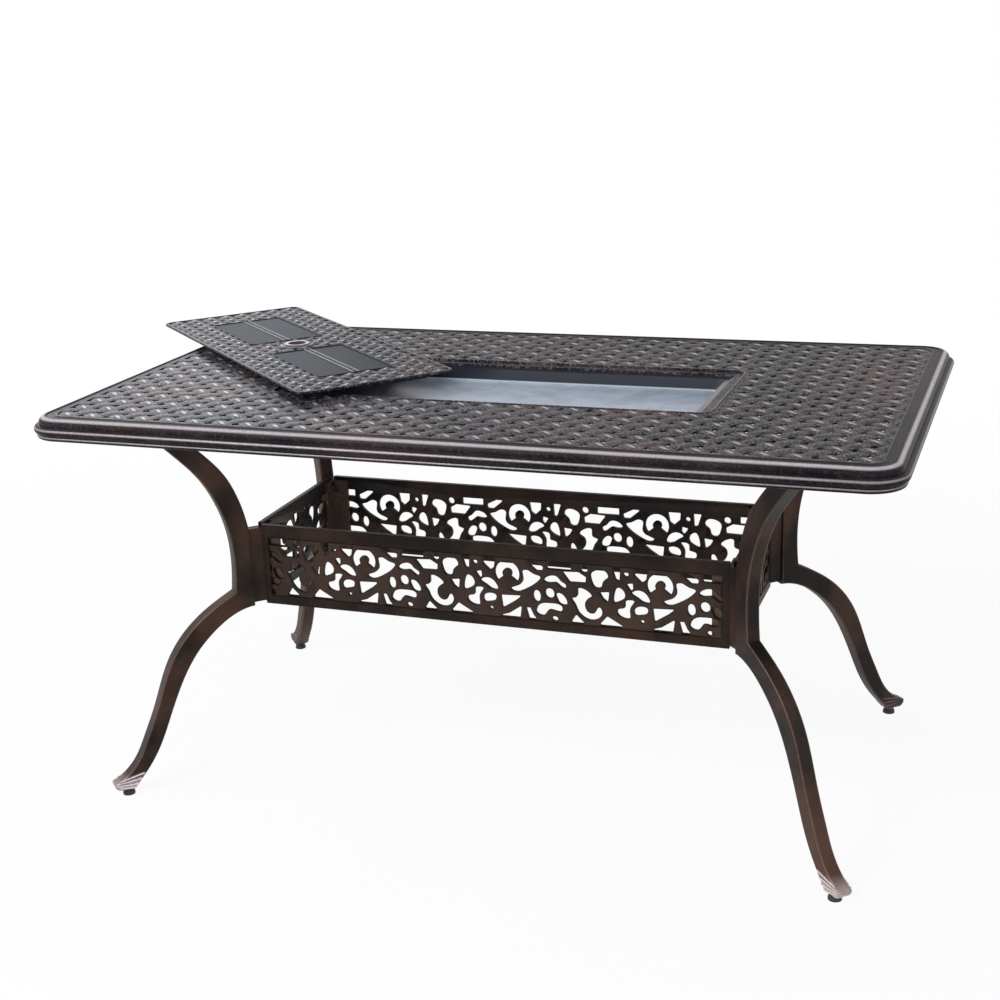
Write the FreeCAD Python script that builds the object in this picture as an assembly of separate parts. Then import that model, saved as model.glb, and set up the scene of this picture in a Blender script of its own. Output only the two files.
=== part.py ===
import FreeCAD, Part
import math
import os

# Garden brazier table in cast aluminium: a long top with a moulded edge, a fire tray sunk in its
# middle, a lift-off lid lying turned across the top, four cabriole legs and four pierced aprons.
# Millimetres, +Z up. X runs along the long side, Y from the front to the back.
# The origin is on the floor under the middle of the table.

os.makedirs("parts", exist_ok=True)

V = FreeCAD.Vector

# Overall sizes
topLength = 1500.0
topDepth = 880.0
tableHeight = 740.0

# Table top casting
plateThickness = 6.0
cornerRadius = 62.0
edgeDrop = 38.0
upperBeadInset = 9.0
upperBeadRadius = 13.0
middleBeadDrop = 15.0
middleBeadRadius = 7.5
lowerBeadInset = 4.5
skirtInnerInset = 17.0
plateInset = 30.0
ribWidth = 6.0
ribDrop = 22.0
fieldInset = 52.0
fieldFrameWidth = 11.0
fieldColumns = 12
fieldRows = 8
fieldHoleShare = 0.33
endRibColumns = 5
sideRibColumns = 2
longRibRows = 3
padLength = 84.0
padWidth = 92.0
padDrop = 18.0

# Opening in the top, stepped down towards the tray
lidLength = 800.0
lidWidth = 310.0
lidCornerRadius = 18.0
lidClearance = 3.0
rebateDepth = 5.2
ledgeWidth = 17.0
rimWall = 9.0
rimDrop = 20.0
trayLedgeDrop = 13.0
trayLedgeWidth = 10.0

# Fire tray
traySheet = 1.4
trayClearance = 2.0
trayBasinClearance = 2.0
trayDepth = 22.0
trayDraft = 5.0
trayCornerRadius = 14.0
trayBottomRadius = 20.0
trayRimBead = 2.4

# Lid
lidThickness = 5.0
lidRimInset = 34.0
lidRimHeight = 12.0
lidRimThickness = 4.0
lidWindowLength = 244.0
lidWindowGap = 112.0
lidStripWidth = 62.0
lidStripGap = 20.0
lidRecess = 1.4
lidWindowRadius = 8.0
lidHoleDiameter = 42.0
ringFlange = 54.0
ringFlangeHeight = 2.6
ringBore = 36.0
ringSleeveBelow = 3.0
parkX = -502.0
parkY = 156.0
parkAngle = -42.6

# Apron box
boxLength = 906.0
boxDepth = 332.0
apronBottom = 328.0
apronHeight = 156.0
apronThickness = 8.0
fieldRecess = 2.0
topRail = 24.0
bottomRail = 16.5
stileWidth = 12.5
patternLead = 23.3
endGap = 0.3
postExtra = 4.0
frameOverlap = 1.0

# Legs
legWidth = 28.0
waistInner = 15.0
waistThickness = 36.0
footReach = 286.0
armReach = 189.0
footFaceHeight = 13.0
toeUnder = 12.0
flangeThickness = 8.0
flangeLength = 76.0
flangeWidth = 84.0
legEdgeRadius = 4.0
flangeRadius = 10.0
earThickness = 6.0
earLength = 32.0
earMargin = 6.0
webDepth = 9.0

# Fasteners and feet
topBoltDiameter = 8.0
topBoltSpreadAlong = 50.0
topBoltSpreadAcross = 62.0
topBoltReach = 12.0
apronBoltDiameter = 6.0
apronBoltReach = 5.5
longApronBoltMargin = 34.0
shortApronBoltMargin = 18.0
apronBoltInset = 8.8
headWidthShare = 1.62
headHeightShare = 0.62
washerWidthShare = 2.1
washerThickness = 1.5
washerClearance = 0.2
boltTipGap = 1.0
holeClearance = 0.4
threadFit = 0.05
stemDiameter = 8.0
stemLength = 27.0
stemSeat = 4.0
bushDiameter = 13.0
bushLength = 15.0
stemHoleDepth = 20.0
footDiameter = 23.0
footNeckDiameter = 15.0
footPadHeight = 4.0

# Small working values
seatGap = 0.2
overrun = 2.0

# Levels and half sizes that several pieces share
plateUnder = tableHeight - plateThickness
padUnder = plateUnder - padDrop
legTop = padUnder - flangeThickness
apronTop = apronBottom + apronHeight
waistOuter = waistInner + waistThickness
postSide = apronThickness + postExtra
halfBoxX = boxLength / 2
halfBoxY = boxDepth / 2
rebateHalfX = lidLength / 2 + lidClearance
rebateHalfY = lidWidth / 2 + lidClearance
rebateRadius = lidCornerRadius + lidClearance
openingHalfX = rebateHalfX - ledgeWidth
openingHalfY = rebateHalfY - ledgeWidth
openingRadius = rebateRadius - ledgeWidth
trayLedgeLevel = tableHeight - trayLedgeDrop
throatHalfX = openingHalfX - trayLedgeWidth
throatHalfY = openingHalfY - trayLedgeWidth
root2 = math.sqrt(2.0)
root3 = math.sqrt(3.0)


def roundedWire(halfX, halfY, radius, level):
    """Closed rectangle with round corners, centred on the Z axis."""
    corners = [(1, -1), (1, 1), (-1, 1), (-1, -1)]
    edges = []
    starts = []
    for step, (sx, sy) in enumerate(corners):
        middle = V(sx * (halfX - radius), sy * (halfY - radius), level)
        turn = math.radians(90.0 * step - 90.0)
        points = []
        for extra in (0.0, math.pi / 4, math.pi / 2):
            direction = V(math.cos(turn + extra), math.sin(turn + extra), 0)
            points.append(middle + direction * radius)
        starts.append(points)
    for step, points in enumerate(starts):
        edges.append(Part.Arc(*points).toShape())
        following = starts[(step + 1) % len(starts)]
        edges.append(Part.LineSegment(points[-1], following[0]).toShape())
    return Part.Wire(edges)


def roundedSlab(halfX, halfY, radius, low, high):
    face = Part.Face(roundedWire(halfX, halfY, radius, low))
    return face.extrude(V(0, 0, high - low))


def taperedBlock(halfX, halfY, radius, bottomRadius, draft, low, high):
    """Solid that narrows by the draft on every side from the top down to the bottom."""
    upper = roundedWire(halfX, halfY, radius, high)
    lower = roundedWire(halfX - draft, halfY - draft, bottomRadius, low)
    return Part.makeLoft([lower, upper], True, True)


def centredBox(length, depth, height, centre, low):
    corner = V(centre.x - length / 2, centre.y - depth / 2, low)
    return Part.makeBox(length, depth, height, corner)


def closedPrism(points, direction):
    return Part.Face(Part.makePolygon(points + points[:1])).extrude(direction)


def fused(first, others):
    return first.multiFuse(others).removeSplitter()


def quarterCopies(shape):
    """The four copies of a piece made for the right rear corner, by corner name."""
    left = shape.mirror(V(0, 0, 0), V(1, 0, 0))
    return {
        "rear_right": shape,
        "rear_left": left,
        "front_right": shape.mirror(V(0, 0, 0), V(0, 1, 0)),
        "front_left": left.mirror(V(0, 0, 0), V(0, 1, 0)),
    }


def legPlace(along, across, level):
    """A point by its distance out from the box corner, its side step and its height."""
    x = halfBoxX + (along + across) / root2
    y = halfBoxY + (along - across) / root2
    return V(x, y, level)


def save(shape, node):
    shape.exportStep("parts/" + node + ".step")
    print(node, len(shape.Solids), round(shape.Volume), shape.isValid())


# Edge moulding: three beads under each other, in inset from the edge and drop below the top
def edgeProfile():
    def place(inset, drop):
        return V(0, inset, -drop)

    upperMiddle = upperBeadInset + upperBeadRadius
    diagonal = upperBeadRadius / root2
    middleBottom = middleBeadDrop + 2 * middleBeadRadius
    lowerRadius = (edgeDrop - middleBottom) / 2
    lowerMiddle = lowerBeadInset + lowerRadius
    edges = [
        Part.Arc(
            place(upperMiddle, 0),
            place(upperMiddle - diagonal, upperBeadRadius - diagonal),
            place(upperBeadInset, upperBeadRadius),
        ).toShape(),
        Part.makeLine(place(upperBeadInset, upperBeadRadius), place(upperBeadInset, middleBeadDrop)),
        Part.makeLine(place(upperBeadInset, middleBeadDrop), place(middleBeadRadius, middleBeadDrop)),
        Part.Arc(
            place(middleBeadRadius, middleBeadDrop),
            place(0, middleBeadDrop + middleBeadRadius),
            place(middleBeadRadius, middleBottom),
        ).toShape(),
        Part.makeLine(place(middleBeadRadius, middleBottom), place(lowerMiddle, middleBottom)),
        Part.Arc(
            place(lowerMiddle, middleBottom),
            place(lowerBeadInset, middleBottom + lowerRadius),
            place(lowerMiddle, edgeDrop),
        ).toShape(),
        Part.makeLine(place(lowerMiddle, edgeDrop), place(skirtInnerInset, edgeDrop)),
        Part.makeLine(place(skirtInnerInset, edgeDrop), place(skirtInnerInset, plateThickness)),
        Part.makeLine(place(skirtInnerInset, plateThickness), place(plateInset, plateThickness)),
        Part.makeLine(place(plateInset, plateThickness), place(plateInset, 0)),
        Part.makeLine(place(plateInset, 0), place(upperMiddle, 0)),
    ]
    return Part.Face(Part.Wire(edges))


def edgeMoulding():
    pieces = []
    for side in range(4):
        run, reach = (topLength, topDepth) if side % 2 == 0 else (topDepth, topLength)
        halfRun = run / 2 - cornerRadius
        straight = edgeProfile()
        straight.translate(V(-halfRun, -reach / 2, tableHeight))
        corner = edgeProfile()
        corner.translate(V(halfRun, -reach / 2, tableHeight))
        pivot = V(halfRun, cornerRadius - reach / 2, 0)
        for piece in (
            straight.extrude(V(2 * halfRun, 0, 0)),
            corner.revolve(pivot, V(0, 0, 1), 90),
        ):
            piece.rotate(V(0, 0, 0), V(0, 0, 1), 90 * side)
            pieces.append(piece)
    return pieces


def topBoltPlaces():
    places = []
    for along in (-topBoltSpreadAlong / 2, topBoltSpreadAlong / 2):
        for across in (-topBoltSpreadAcross / 2, topBoltSpreadAcross / 2):
            places.append((armReach + along, across))
    return places


def fieldPitch():
    """Spacing of the field's openings along and across the top."""
    fieldX = topLength / 2 - fieldInset
    fieldY = topDepth / 2 - fieldInset
    return 2 * fieldX / fieldColumns, 2 * fieldY / fieldRows


def fieldOpenings():
    """Square openings set on their corners, in a plain grid that leaves out the frame and the pads."""
    pitchX, pitchY = fieldPitch()
    side = fieldHoleShare * pitchX
    reach = side / root2
    frameX = rebateHalfX + fieldFrameWidth
    frameY = rebateHalfY + fieldFrameWidth
    padPlace = legPlace(armReach, 0, 0)
    openings = []
    for column in range(fieldColumns):
        x = (column + 0.5 - fieldColumns / 2) * pitchX
        for row in range(fieldRows):
            y = (row + 0.5 - fieldRows / 2) * pitchY
            overFrame = abs(x) < frameX + reach and abs(y) < frameY + reach
            stepX = abs(x) - abs(padPlace.x)
            stepY = abs(y) - abs(padPlace.y)
            overPad = (
                abs(stepX + stepY) / root2 < (padLength + side) / 2
                and abs(stepX - stepY) / root2 < (padWidth + side) / 2
            )
            if overFrame or overPad:
                continue
            hole = centredBox(side, side, plateThickness + 2 * overrun, V(0, 0, 0), plateUnder - overrun)
            hole.rotate(V(0, 0, 0), V(0, 0, 1), 45)
            hole.translate(V(x, y, 0))
            openings.append(hole)
    return openings


def diagonalBlock(length, width, radius, low, high):
    """A round-cornered block over the leg's arm, turned along the leg's own diagonal."""
    block = roundedSlab(length / 2, width / 2, radius, low, high)
    block.rotate(V(0, 0, 0), V(0, 0, 1), 45)
    block.translate(legPlace(armReach, 0, 0))
    return block


def tableTop():
    plate = roundedSlab(
        topLength / 2 - plateInset,
        topDepth / 2 - plateInset,
        cornerRadius - plateInset,
        plateUnder,
        tableHeight,
    )
    rim = roundedSlab(
        rebateHalfX + rimWall,
        rebateHalfY + rimWall,
        rebateRadius + rimWall,
        tableHeight - rimDrop,
        plateUnder,
    )
    skirtX = topLength / 2 - skirtInnerInset
    skirtY = topDepth / 2 - skirtInnerInset
    ribs = []
    ribLow = tableHeight - ribDrop
    ribHeight = plateUnder - ribLow
    pitchX, pitchY = fieldPitch()
    for side in (-1, 1):
        longMiddle = V(0, side * longRibRows * pitchY, 0)
        ribs.append(centredBox(2 * skirtX, ribWidth, ribHeight, longMiddle, ribLow))
        crossMiddle = V(side * endRibColumns * pitchX, 0, 0)
        ribs.append(centredBox(ribWidth, 2 * skirtY, ribHeight, crossMiddle, ribLow))
        endLength = skirtX - rebateHalfX
        endMiddle = V(side * (rebateHalfX + endLength / 2), 0, 0)
        ribs.append(centredBox(endLength, ribWidth, ribHeight, endMiddle, ribLow))
        sideDepth = skirtY - rebateHalfY
        for column in (-sideRibColumns, sideRibColumns):
            sideMiddle = V(column * pitchX, side * (rebateHalfY + sideDepth / 2), 0)
            ribs.append(centredBox(ribWidth, sideDepth, ribHeight, sideMiddle, ribLow))
    pad = diagonalBlock(padLength, padWidth, flangeRadius, padUnder, plateUnder)
    casting = fused(plate, edgeMoulding() + [rim] + ribs + list(quarterCopies(pad).values()))
    above = tableHeight + overrun
    below = tableHeight - rimDrop - overrun
    cuts = [
        roundedSlab(rebateHalfX, rebateHalfY, rebateRadius, tableHeight - rebateDepth, above),
        roundedSlab(openingHalfX, openingHalfY, openingRadius, trayLedgeLevel, above),
        roundedSlab(throatHalfX, throatHalfY, trayCornerRadius, below, above),
    ]
    cuts += fieldOpenings()
    for along, across in topBoltPlaces():
        radius = topBoltDiameter / 2 + threadFit
        place = legPlace(along, across, padUnder - overrun)
        drill = Part.makeCylinder(radius, topBoltReach + overrun, place)
        cuts += list(quarterCopies(drill).values())
    return casting.cut(Part.makeCompound(cuts)).removeSplitter()


# Fire tray: a shallow pressed pan that hangs by its flange on the inner ledge
def fireTray():
    flangeLow = trayLedgeLevel + seatGap
    flangeHigh = flangeLow + traySheet
    basinHalfX = throatHalfX - trayBasinClearance
    basinHalfY = throatHalfY - trayBasinClearance
    floorLevel = flangeHigh - trayDepth
    flangeHalfX = openingHalfX - trayClearance
    flangeHalfY = openingHalfY - trayClearance
    flange = roundedSlab(flangeHalfX, flangeHalfY, openingRadius, flangeLow, flangeHigh)
    bead = roundedSlab(flangeHalfX, flangeHalfY, openingRadius, flangeHigh, flangeHigh + trayRimBead)
    beadCut = roundedSlab(
        flangeHalfX - trayRimBead,
        flangeHalfY - trayRimBead,
        openingRadius,
        flangeHigh,
        flangeHigh + trayRimBead + overrun,
    )
    outer = taperedBlock(
        basinHalfX,
        basinHalfY,
        trayCornerRadius,
        trayBottomRadius,
        trayDraft,
        floorLevel - traySheet,
        flangeHigh,
    )
    inner = taperedBlock(
        basinHalfX - traySheet,
        basinHalfY - traySheet,
        trayCornerRadius - traySheet,
        trayBottomRadius - traySheet,
        trayDraft,
        floorLevel,
        flangeHigh + overrun,
    )
    return fused(flange, [bead.cut(beadCut), outer]).cut(inner).removeSplitter()


# Lid: a ribbed plate with two windows of smooth strips, and a ring in its middle hole
def parked(shape):
    """Turn the lid's pieces and lay them on the table top, where the photograph shows them."""
    shape.rotate(V(0, 0, 0), V(0, 0, 1), parkAngle)
    shape.translate(V(parkX, parkY, tableHeight + seatGap))
    return shape


def lidPlate():
    under = lidRimHeight
    upper = lidRimHeight + lidThickness
    plate = roundedSlab(lidLength / 2, lidWidth / 2, lidCornerRadius, under, upper)
    rimHalfX = lidLength / 2 - lidRimInset
    rimHalfY = lidWidth / 2 - lidRimInset
    rimRadius = trayCornerRadius
    rim = roundedSlab(rimHalfX, rimHalfY, rimRadius, 0, under)
    hollow = roundedSlab(
        rimHalfX - lidRimThickness,
        rimHalfY - lidRimThickness,
        rimRadius - lidRimThickness,
        -overrun,
        under,
    )
    shape = fused(plate, [rim.cut(hollow)])
    cuts = [Part.makeCylinder(lidHoleDiameter / 2, upper + overrun, V(0, 0, under - overrun))]
    for side in (-1, 1):
        for row in (-1, 1):
            strip = roundedSlab(
                lidWindowLength / 2, lidStripWidth / 2, lidWindowRadius, upper - lidRecess, upper + overrun
            )
            along = side * (lidWindowGap + lidWindowLength) / 2
            across = row * (lidStripGap + lidStripWidth) / 2
            strip.translate(V(along, across, 0))
            cuts.append(strip)
    return parked(shape.cut(Part.makeCompound(cuts)).removeSplitter())


def lidRing():
    upper = lidRimHeight + lidThickness
    low = lidRimHeight - ringSleeveBelow
    sleeve = Part.makeCylinder(lidHoleDiameter / 2 - holeClearance, upper - low, V(0, 0, low))
    collarTop = ringFlange / 2 - ringFlangeHeight
    collar = Part.makeCone(ringFlange / 2, collarTop, ringFlangeHeight, V(0, 0, upper))
    bore = Part.makeCylinder(ringBore / 2, upper + ringFlangeHeight + overrun, V(0, 0, low - overrun))
    return parked(fused(collar, [sleeve]).cut(bore).removeSplitter())


# Scroll openings of one repeat, as shares of the repeat's length and of the apron's height.
# The first number runs along the apron from the repeat's left end, the second up from its foot.
softScrollShares = [
    [(0.087, 0.533), (0.139, 0.517), (0.169, 0.453), (0.143, 0.418), (0.128, 0.372), (0.133, 0.304),
     (0.156, 0.264), (0.187, 0.268), (0.203, 0.317), (0.218, 0.336), (0.232, 0.305), (0.224, 0.235),
     (0.182, 0.184), (0.124, 0.200), (0.079, 0.281), (0.060, 0.357), (0.044, 0.410), (0.076, 0.436)],
    [(0.172, 0.728), (0.217, 0.776), (0.263, 0.762), (0.276, 0.704), (0.246, 0.650), (0.232, 0.584),
     (0.201, 0.573), (0.174, 0.645)],
    [(0.317, 0.417), (0.321, 0.522), (0.346, 0.588), (0.374, 0.562), (0.386, 0.500), (0.352, 0.434)],
    [(0.437, 0.548), (0.503, 0.566), (0.530, 0.524), (0.542, 0.449), (0.503, 0.449), (0.464, 0.494)],
    [(0.411, 0.450), (0.444, 0.440), (0.420, 0.365), (0.413, 0.240), (0.382, 0.237), (0.339, 0.308),
     (0.346, 0.335), (0.386, 0.362)],
    [(0.450, 0.301), (0.457, 0.364), (0.503, 0.391), (0.531, 0.368), (0.524, 0.314), (0.487, 0.287)],
    [(0.862, 0.606), (0.889, 0.652), (0.945, 0.656), (0.972, 0.606), (1.001, 0.563), (0.993, 0.530),
     (0.965, 0.548), (0.936, 0.586), (0.882, 0.580)],
    [(0.945, 0.457), (0.974, 0.455), (1.002, 0.335), (0.968, 0.334), (0.944, 0.391)],
    [(0.805, 0.230), (0.839, 0.316), (0.898, 0.331), (0.972, 0.290), (0.966, 0.248), (0.884, 0.248),
     (0.854, 0.184), (0.820, 0.188)],
    [(0.723, 0.697), (0.750, 0.701), (0.792, 0.662), (0.829, 0.638), (0.803, 0.568), (0.735, 0.484),
     (0.648, 0.454), (0.640, 0.466), (0.692, 0.523), (0.717, 0.602)],
]
sharpScrollShares = [
    [(-0.018, 0.724), (0.085, 0.734), (0.133, 0.683), (0.129, 0.615), (0.030, 0.611)],
    [(0.223, 0.515), (0.285, 0.528), (0.275, 0.404), (0.244, 0.448)],
    [(0.068, 0.222), (0.125, 0.124), (0.033, 0.124)],
    [(0.273, 0.235), (0.383, 0.124), (0.220, 0.124)],
    [(0.304, 0.829), (0.357, 0.829), (0.352, 0.672), (0.329, 0.689)],
    [(0.449, 0.829), (0.533, 0.829), (0.521, 0.710), (0.495, 0.676), (0.453, 0.746)],
    [(0.396, 0.640), (0.437, 0.656), (0.440, 0.600), (0.426, 0.560)],
    [(0.732, 0.829), (0.781, 0.829), (0.852, 0.765), (0.846, 0.716), (0.808, 0.714)],
    [(0.567, 0.380), (0.704, 0.391), (0.657, 0.320), (0.577, 0.228)],
    [(0.540, 0.124), (0.622, 0.170), (0.702, 0.268), (0.690, 0.124)],
    [(0.733, 0.252), (0.762, 0.256), (0.783, 0.175), (0.806, 0.124), (0.752, 0.124)],
    [(0.885, 0.832), (1.034, 0.832), (1.034, 0.748), (0.885, 0.748)],
]
# Round and oval openings: middle along, middle up, half length and half height, as the same shares
ovalScrollShares = [
    (0.125, 0.779, 0.022, 0.040),
    (0.396, 0.757, 0.015, 0.027),
    (0.498, 0.213, 0.011, 0.020),
    (0.809, 0.407, 0.024, 0.068),
    (0.895, 0.452, 0.029, 0.058),
    (0.927, 0.152, 0.019, 0.027),
]
# Horseshoe opening: middle along and up, then outer and inner radius as shares of the height
archScrollShares = (0.612, 0.650, 0.140, 0.056)
archEndAngle = 38.0
growthShare = 0.05
longRepeatCount = 3
shortRepeatCount = 1
scrollCornerShare = 0.011
cornerReachShare = 0.4


def roundedOutline(points, radius):
    """Closed outline through the given corners, each one rounded."""
    cuts = []
    for index, corner in enumerate(points):
        before = points[index - 1] - corner
        after = points[(index + 1) % len(points)] - corner
        half = before.getAngle(after) / 2
        reach = min(radius / math.tan(half), cornerReachShare * min(before.Length, after.Length))
        before.normalize()
        after.normalize()
        first = corner + before * reach
        last = corner + after * reach
        inward = before + after
        inward.normalize()
        bend = reach * math.tan(half)
        crest = corner + inward * (reach / math.cos(half) - bend)
        cuts.append((first, crest, last))
    edges = []
    for index, (first, crest, last) in enumerate(cuts):
        edges.append(Part.Arc(first, crest, last).toShape())
        edges.append(Part.makeLine(last, cuts[(index + 1) % len(cuts)][0]))
    return Part.Wire(edges)


def smoothOutline(points):
    curve = Part.BSplineCurve()
    curve.interpolate(Points=points, PeriodicFlag=True)
    return Part.Wire(curve.toShape())


def ovalOutline(middle, halfAlong, halfUp):
    if halfAlong >= halfUp:
        ellipse = Part.Ellipse(middle, halfAlong, halfUp)
    else:
        ellipse = Part.Ellipse(middle, halfUp, halfAlong)
    wire = Part.Wire(ellipse.toShape())
    wire.rotate(middle, V(1, 0, 0), 90)
    if halfAlong < halfUp:
        wire.rotate(middle, V(0, 1, 0), 90)
    return wire


def archOutline(middle, outerRadius, innerRadius):
    def place(radius, degrees):
        turn = math.radians(degrees)
        return middle + V(radius * math.cos(turn), 0, radius * math.sin(turn))

    low = -archEndAngle
    high = 180.0 + archEndAngle
    outer = Part.Arc(place(outerRadius, low), place(outerRadius, 90.0), place(outerRadius, high))
    inner = Part.Arc(place(innerRadius, high), place(innerRadius, 90.0), place(innerRadius, low))
    ends = [
        Part.makeLine(place(outerRadius, high), place(innerRadius, high)),
        Part.makeLine(place(innerRadius, low), place(outerRadius, low)),
    ]
    return Part.Wire([outer.toShape(), ends[0], inner.toShape(), ends[1]])


def scrollOpenings(start, repeat):
    """The cut-outs of one repeat, in the plane of the apron's outer face."""
    growth = 1.0 + growthShare

    def place(along, up):
        return V(start + along * repeat, 0, up * apronHeight)

    def grown(shares):
        points = [place(along, up) for along, up in shares]
        middle = sum(points, V(0, 0, 0)) / len(points)
        return [middle + (point - middle) * growth for point in points]

    outlines = [smoothOutline(grown(shares)) for shares in softScrollShares]
    for shares in sharpScrollShares:
        outlines.append(roundedOutline(grown(shares), scrollCornerShare * apronHeight))
    for along, up, halfAlong, halfUp in ovalScrollShares:
        halves = (halfAlong * repeat * growth, halfUp * apronHeight * growth)
        outlines.append(ovalOutline(place(along, up), *halves))
    along, up, outerShare, innerShare = archScrollShares
    radii = (outerShare * apronHeight * growth, innerShare * apronHeight)
    outlines.append(archOutline(place(along, up), *radii))
    return outlines


def apron(halfLength, repeats, boltMargin):
    """A pierced panel in its own frame: outer face on y = 0, foot on z = 0, body towards +Y."""
    windowHalf = halfLength - stileWidth
    patternStart = patternLead - windowHalf
    repeat = (windowHalf - patternStart) / repeats

    def rectangle(half, low, high):
        corners = [V(-half, 0, low), V(half, 0, low), V(half, 0, high), V(-half, 0, high)]
        return Part.makePolygon(corners + corners[:1])

    def plate(outline, front, back):
        slab = Part.Face(outline).extrude(V(0, back - front, 0))
        slab.translate(V(0, front, 0))
        return slab

    windowTop = apronHeight - topRail
    margin = frameOverlap
    window = plate(rectangle(windowHalf, bottomRail, windowTop), -overrun, apronThickness + overrun)
    frame = plate(rectangle(halfLength, 0, apronHeight), 0, apronThickness).cut(window)
    fieldOutline = rectangle(windowHalf + margin, bottomRail - margin, windowTop + margin)
    field = plate(fieldOutline, fieldRecess, apronThickness)
    openings = []
    for index in range(-1, repeats):
        for outline in scrollOpenings(patternStart + index * repeat, repeat):
            if outline.BoundBox.XMax > -windowHalf:
                openings.append(plate(outline, fieldRecess - overrun, apronThickness + overrun))
    shape = fused(frame, [field.cut(Part.makeCompound(openings))])
    for side in (-1, 1):
        for height in (boltMargin, apronHeight - boltMargin):
            start = V(side * (halfLength - apronBoltInset), apronThickness - apronBoltReach, height)
            depth = apronBoltReach + overrun
            radius = apronBoltDiameter / 2 + threadFit
            shape = shape.cut(Part.makeCylinder(radius, depth, start, V(0, 1, 0)))
    return shape


def placedAprons():
    """The four aprons round the box, each with its outer face outwards."""
    longHalf = halfBoxX - postSide - endGap
    shortHalf = halfBoxY - postSide - endGap
    placed = {}
    for node, isLong, turn in (
        ("apron_front", True, 0),
        ("apron_right", False, 90),
        ("apron_rear", True, 180),
        ("apron_left", False, 270),
    ):
        if isLong:
            panel = apron(longHalf, longRepeatCount, longApronBoltMargin)
        else:
            panel = apron(shortHalf, shortRepeatCount, shortApronBoltMargin)
        panel.translate(V(0, -halfBoxY if isLong else -halfBoxX, apronBottom))
        panel.rotate(V(0, 0, 0), V(0, 0, 1), turn)
        placed[node] = panel
    return placed


# Leg outline in its own upright plane. Upper shares run from the waist to the arm's reach and from
# the aprons' top to the leg's top; lower shares run from the waist to the foot, and downwards.
upperOuterShares = [(-0.01, -0.20), (0.03, -0.01), (0.137, 0.205), (0.324, 0.433), (0.633, 0.665),
                    (1.0, 0.90)]
upperInnerShares = [(0.53, 0.826), (0.338, 0.71), (0.151, 0.585), (0.007, 0.464), (-0.094, 0.34),
                    (-0.173, 0.205)]
upperTopShares = (1.16, 0.84)
waistTopShare = -0.06
kneeShares = (0.005, -0.105)
lowerOuterShares = [(0.99, 0.90), (0.915, 0.838), (0.817, 0.698), (0.732, 0.556), (0.66, 0.413),
                    (0.579, 0.27), (0.46, 0.137), (0.272, 0.0095), (0.14, -0.052)]
lowerInnerShares = [(-0.04, 0.014), (0.115, 0.07), (0.221, 0.13), (0.311, 0.194), (0.4426, 0.327),
                    (0.54, 0.467), (0.621, 0.606), (0.706, 0.749), (0.821, 0.886), (0.91, 0.965)]
toeTipShares = (1.115, 0.955)
toeUnderShares = (1.10, 0.99)


def legOutline():
    def upper(share):
        along = waistOuter + share[0] * (armReach - waistOuter)
        return V(along, 0, apronTop + share[1] * (legTop - apronTop))

    def lower(share):
        along = waistOuter + share[0] * (footReach - waistOuter)
        return V(along, 0, apronBottom - share[1] * (apronBottom - footFaceHeight))

    def spline(points):
        curve = Part.BSplineCurve()
        curve.interpolate(points)
        return curve.toShape()

    knee = lower(kneeShares)
    topOuter = upper((upperTopShares[0], 1.0))
    topInner = upper((upperTopShares[1], 1.0))
    waistTop = V(waistInner, 0, apronTop + waistTopShare * apronHeight)
    waistBottom = V(waistInner, 0, apronBottom)
    heel = V(footReach - toeUnder, 0, footFaceHeight)
    toe = V(footReach + toeUnder, 0, footFaceHeight)
    tip = lower(toeTipShares)
    edges = [
        spline([knee] + [upper(share) for share in upperOuterShares] + [topOuter]),
        Part.makeLine(topOuter, topInner),
        spline([topInner] + [upper(share) for share in upperInnerShares] + [waistTop]),
        Part.makeLine(waistTop, waistBottom),
        spline([waistBottom] + [lower(share) for share in lowerInnerShares] + [heel]),
        Part.makeLine(heel, toe),
        Part.Arc(toe, lower(toeUnderShares), tip).toShape(),
        spline([tip] + [lower(share) for share in lowerOuterShares] + [knee]),
    ]
    return Part.Wire(edges)


def legCasting():
    """The right rear leg: a curved arm and foot, a flange on top and two ears for the aprons."""
    body = Part.Face(legOutline()).extrude(V(0, legWidth, 0))
    body.translate(V(0, -legWidth / 2, 0))
    rims = []
    for edge in body.Edges:
        ends = [vertex.Y for vertex in edge.Vertexes]
        if abs(ends[0] - ends[-1]) < legWidth / 2:
            rims.append(edge)
    body = body.makeFillet(legEdgeRadius, rims)
    body.rotate(V(0, 0, 0), V(0, 0, 1), 45)
    body.translate(V(halfBoxX, halfBoxY, 0))
    flange = diagonalBlock(flangeLength, flangeWidth, flangeRadius, legTop, padUnder)
    shape = fused(body, [flange, legEars()])
    cuts = [footBore()]
    for along, across in topBoltPlaces():
        start = legPlace(along, across, legTop - overrun)
        radius = topBoltDiameter / 2 + holeClearance
        cuts.append(Part.makeCylinder(radius, flangeThickness + 2 * overrun, start))
    for start, direction in apronBoltStarts(-overrun):
        radius = apronBoltDiameter / 2 + holeClearance
        cuts.append(Part.makeCylinder(radius, earThickness + 2 * overrun, start, direction))
    return shape.cut(Part.makeCompound(cuts)).removeSplitter()


def legEars():
    """The angle inside the box corner that the aprons are bolted to, with its post and web."""
    low = apronBottom + earMargin
    inner = -apronThickness
    face = inner - earThickness
    end = -postSide - earLength
    reach = (waistInner + webDepth) * root2
    outer = (reach - postSide) / 2
    plan = [
        (end, face),
        (face, face),
        (face, end),
        (inner, end),
        (inner, -postSide),
        (0, -postSide),
        (outer + postSide, outer),
        (outer, outer + postSide),
        (-postSide, 0),
        (-postSide, inner),
        (end, inner),
    ]
    points = [V(halfBoxX + x, halfBoxY + y, low) for x, y in plan]
    return closedPrism(points, V(0, 0, apronHeight - 2 * earMargin))


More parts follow.
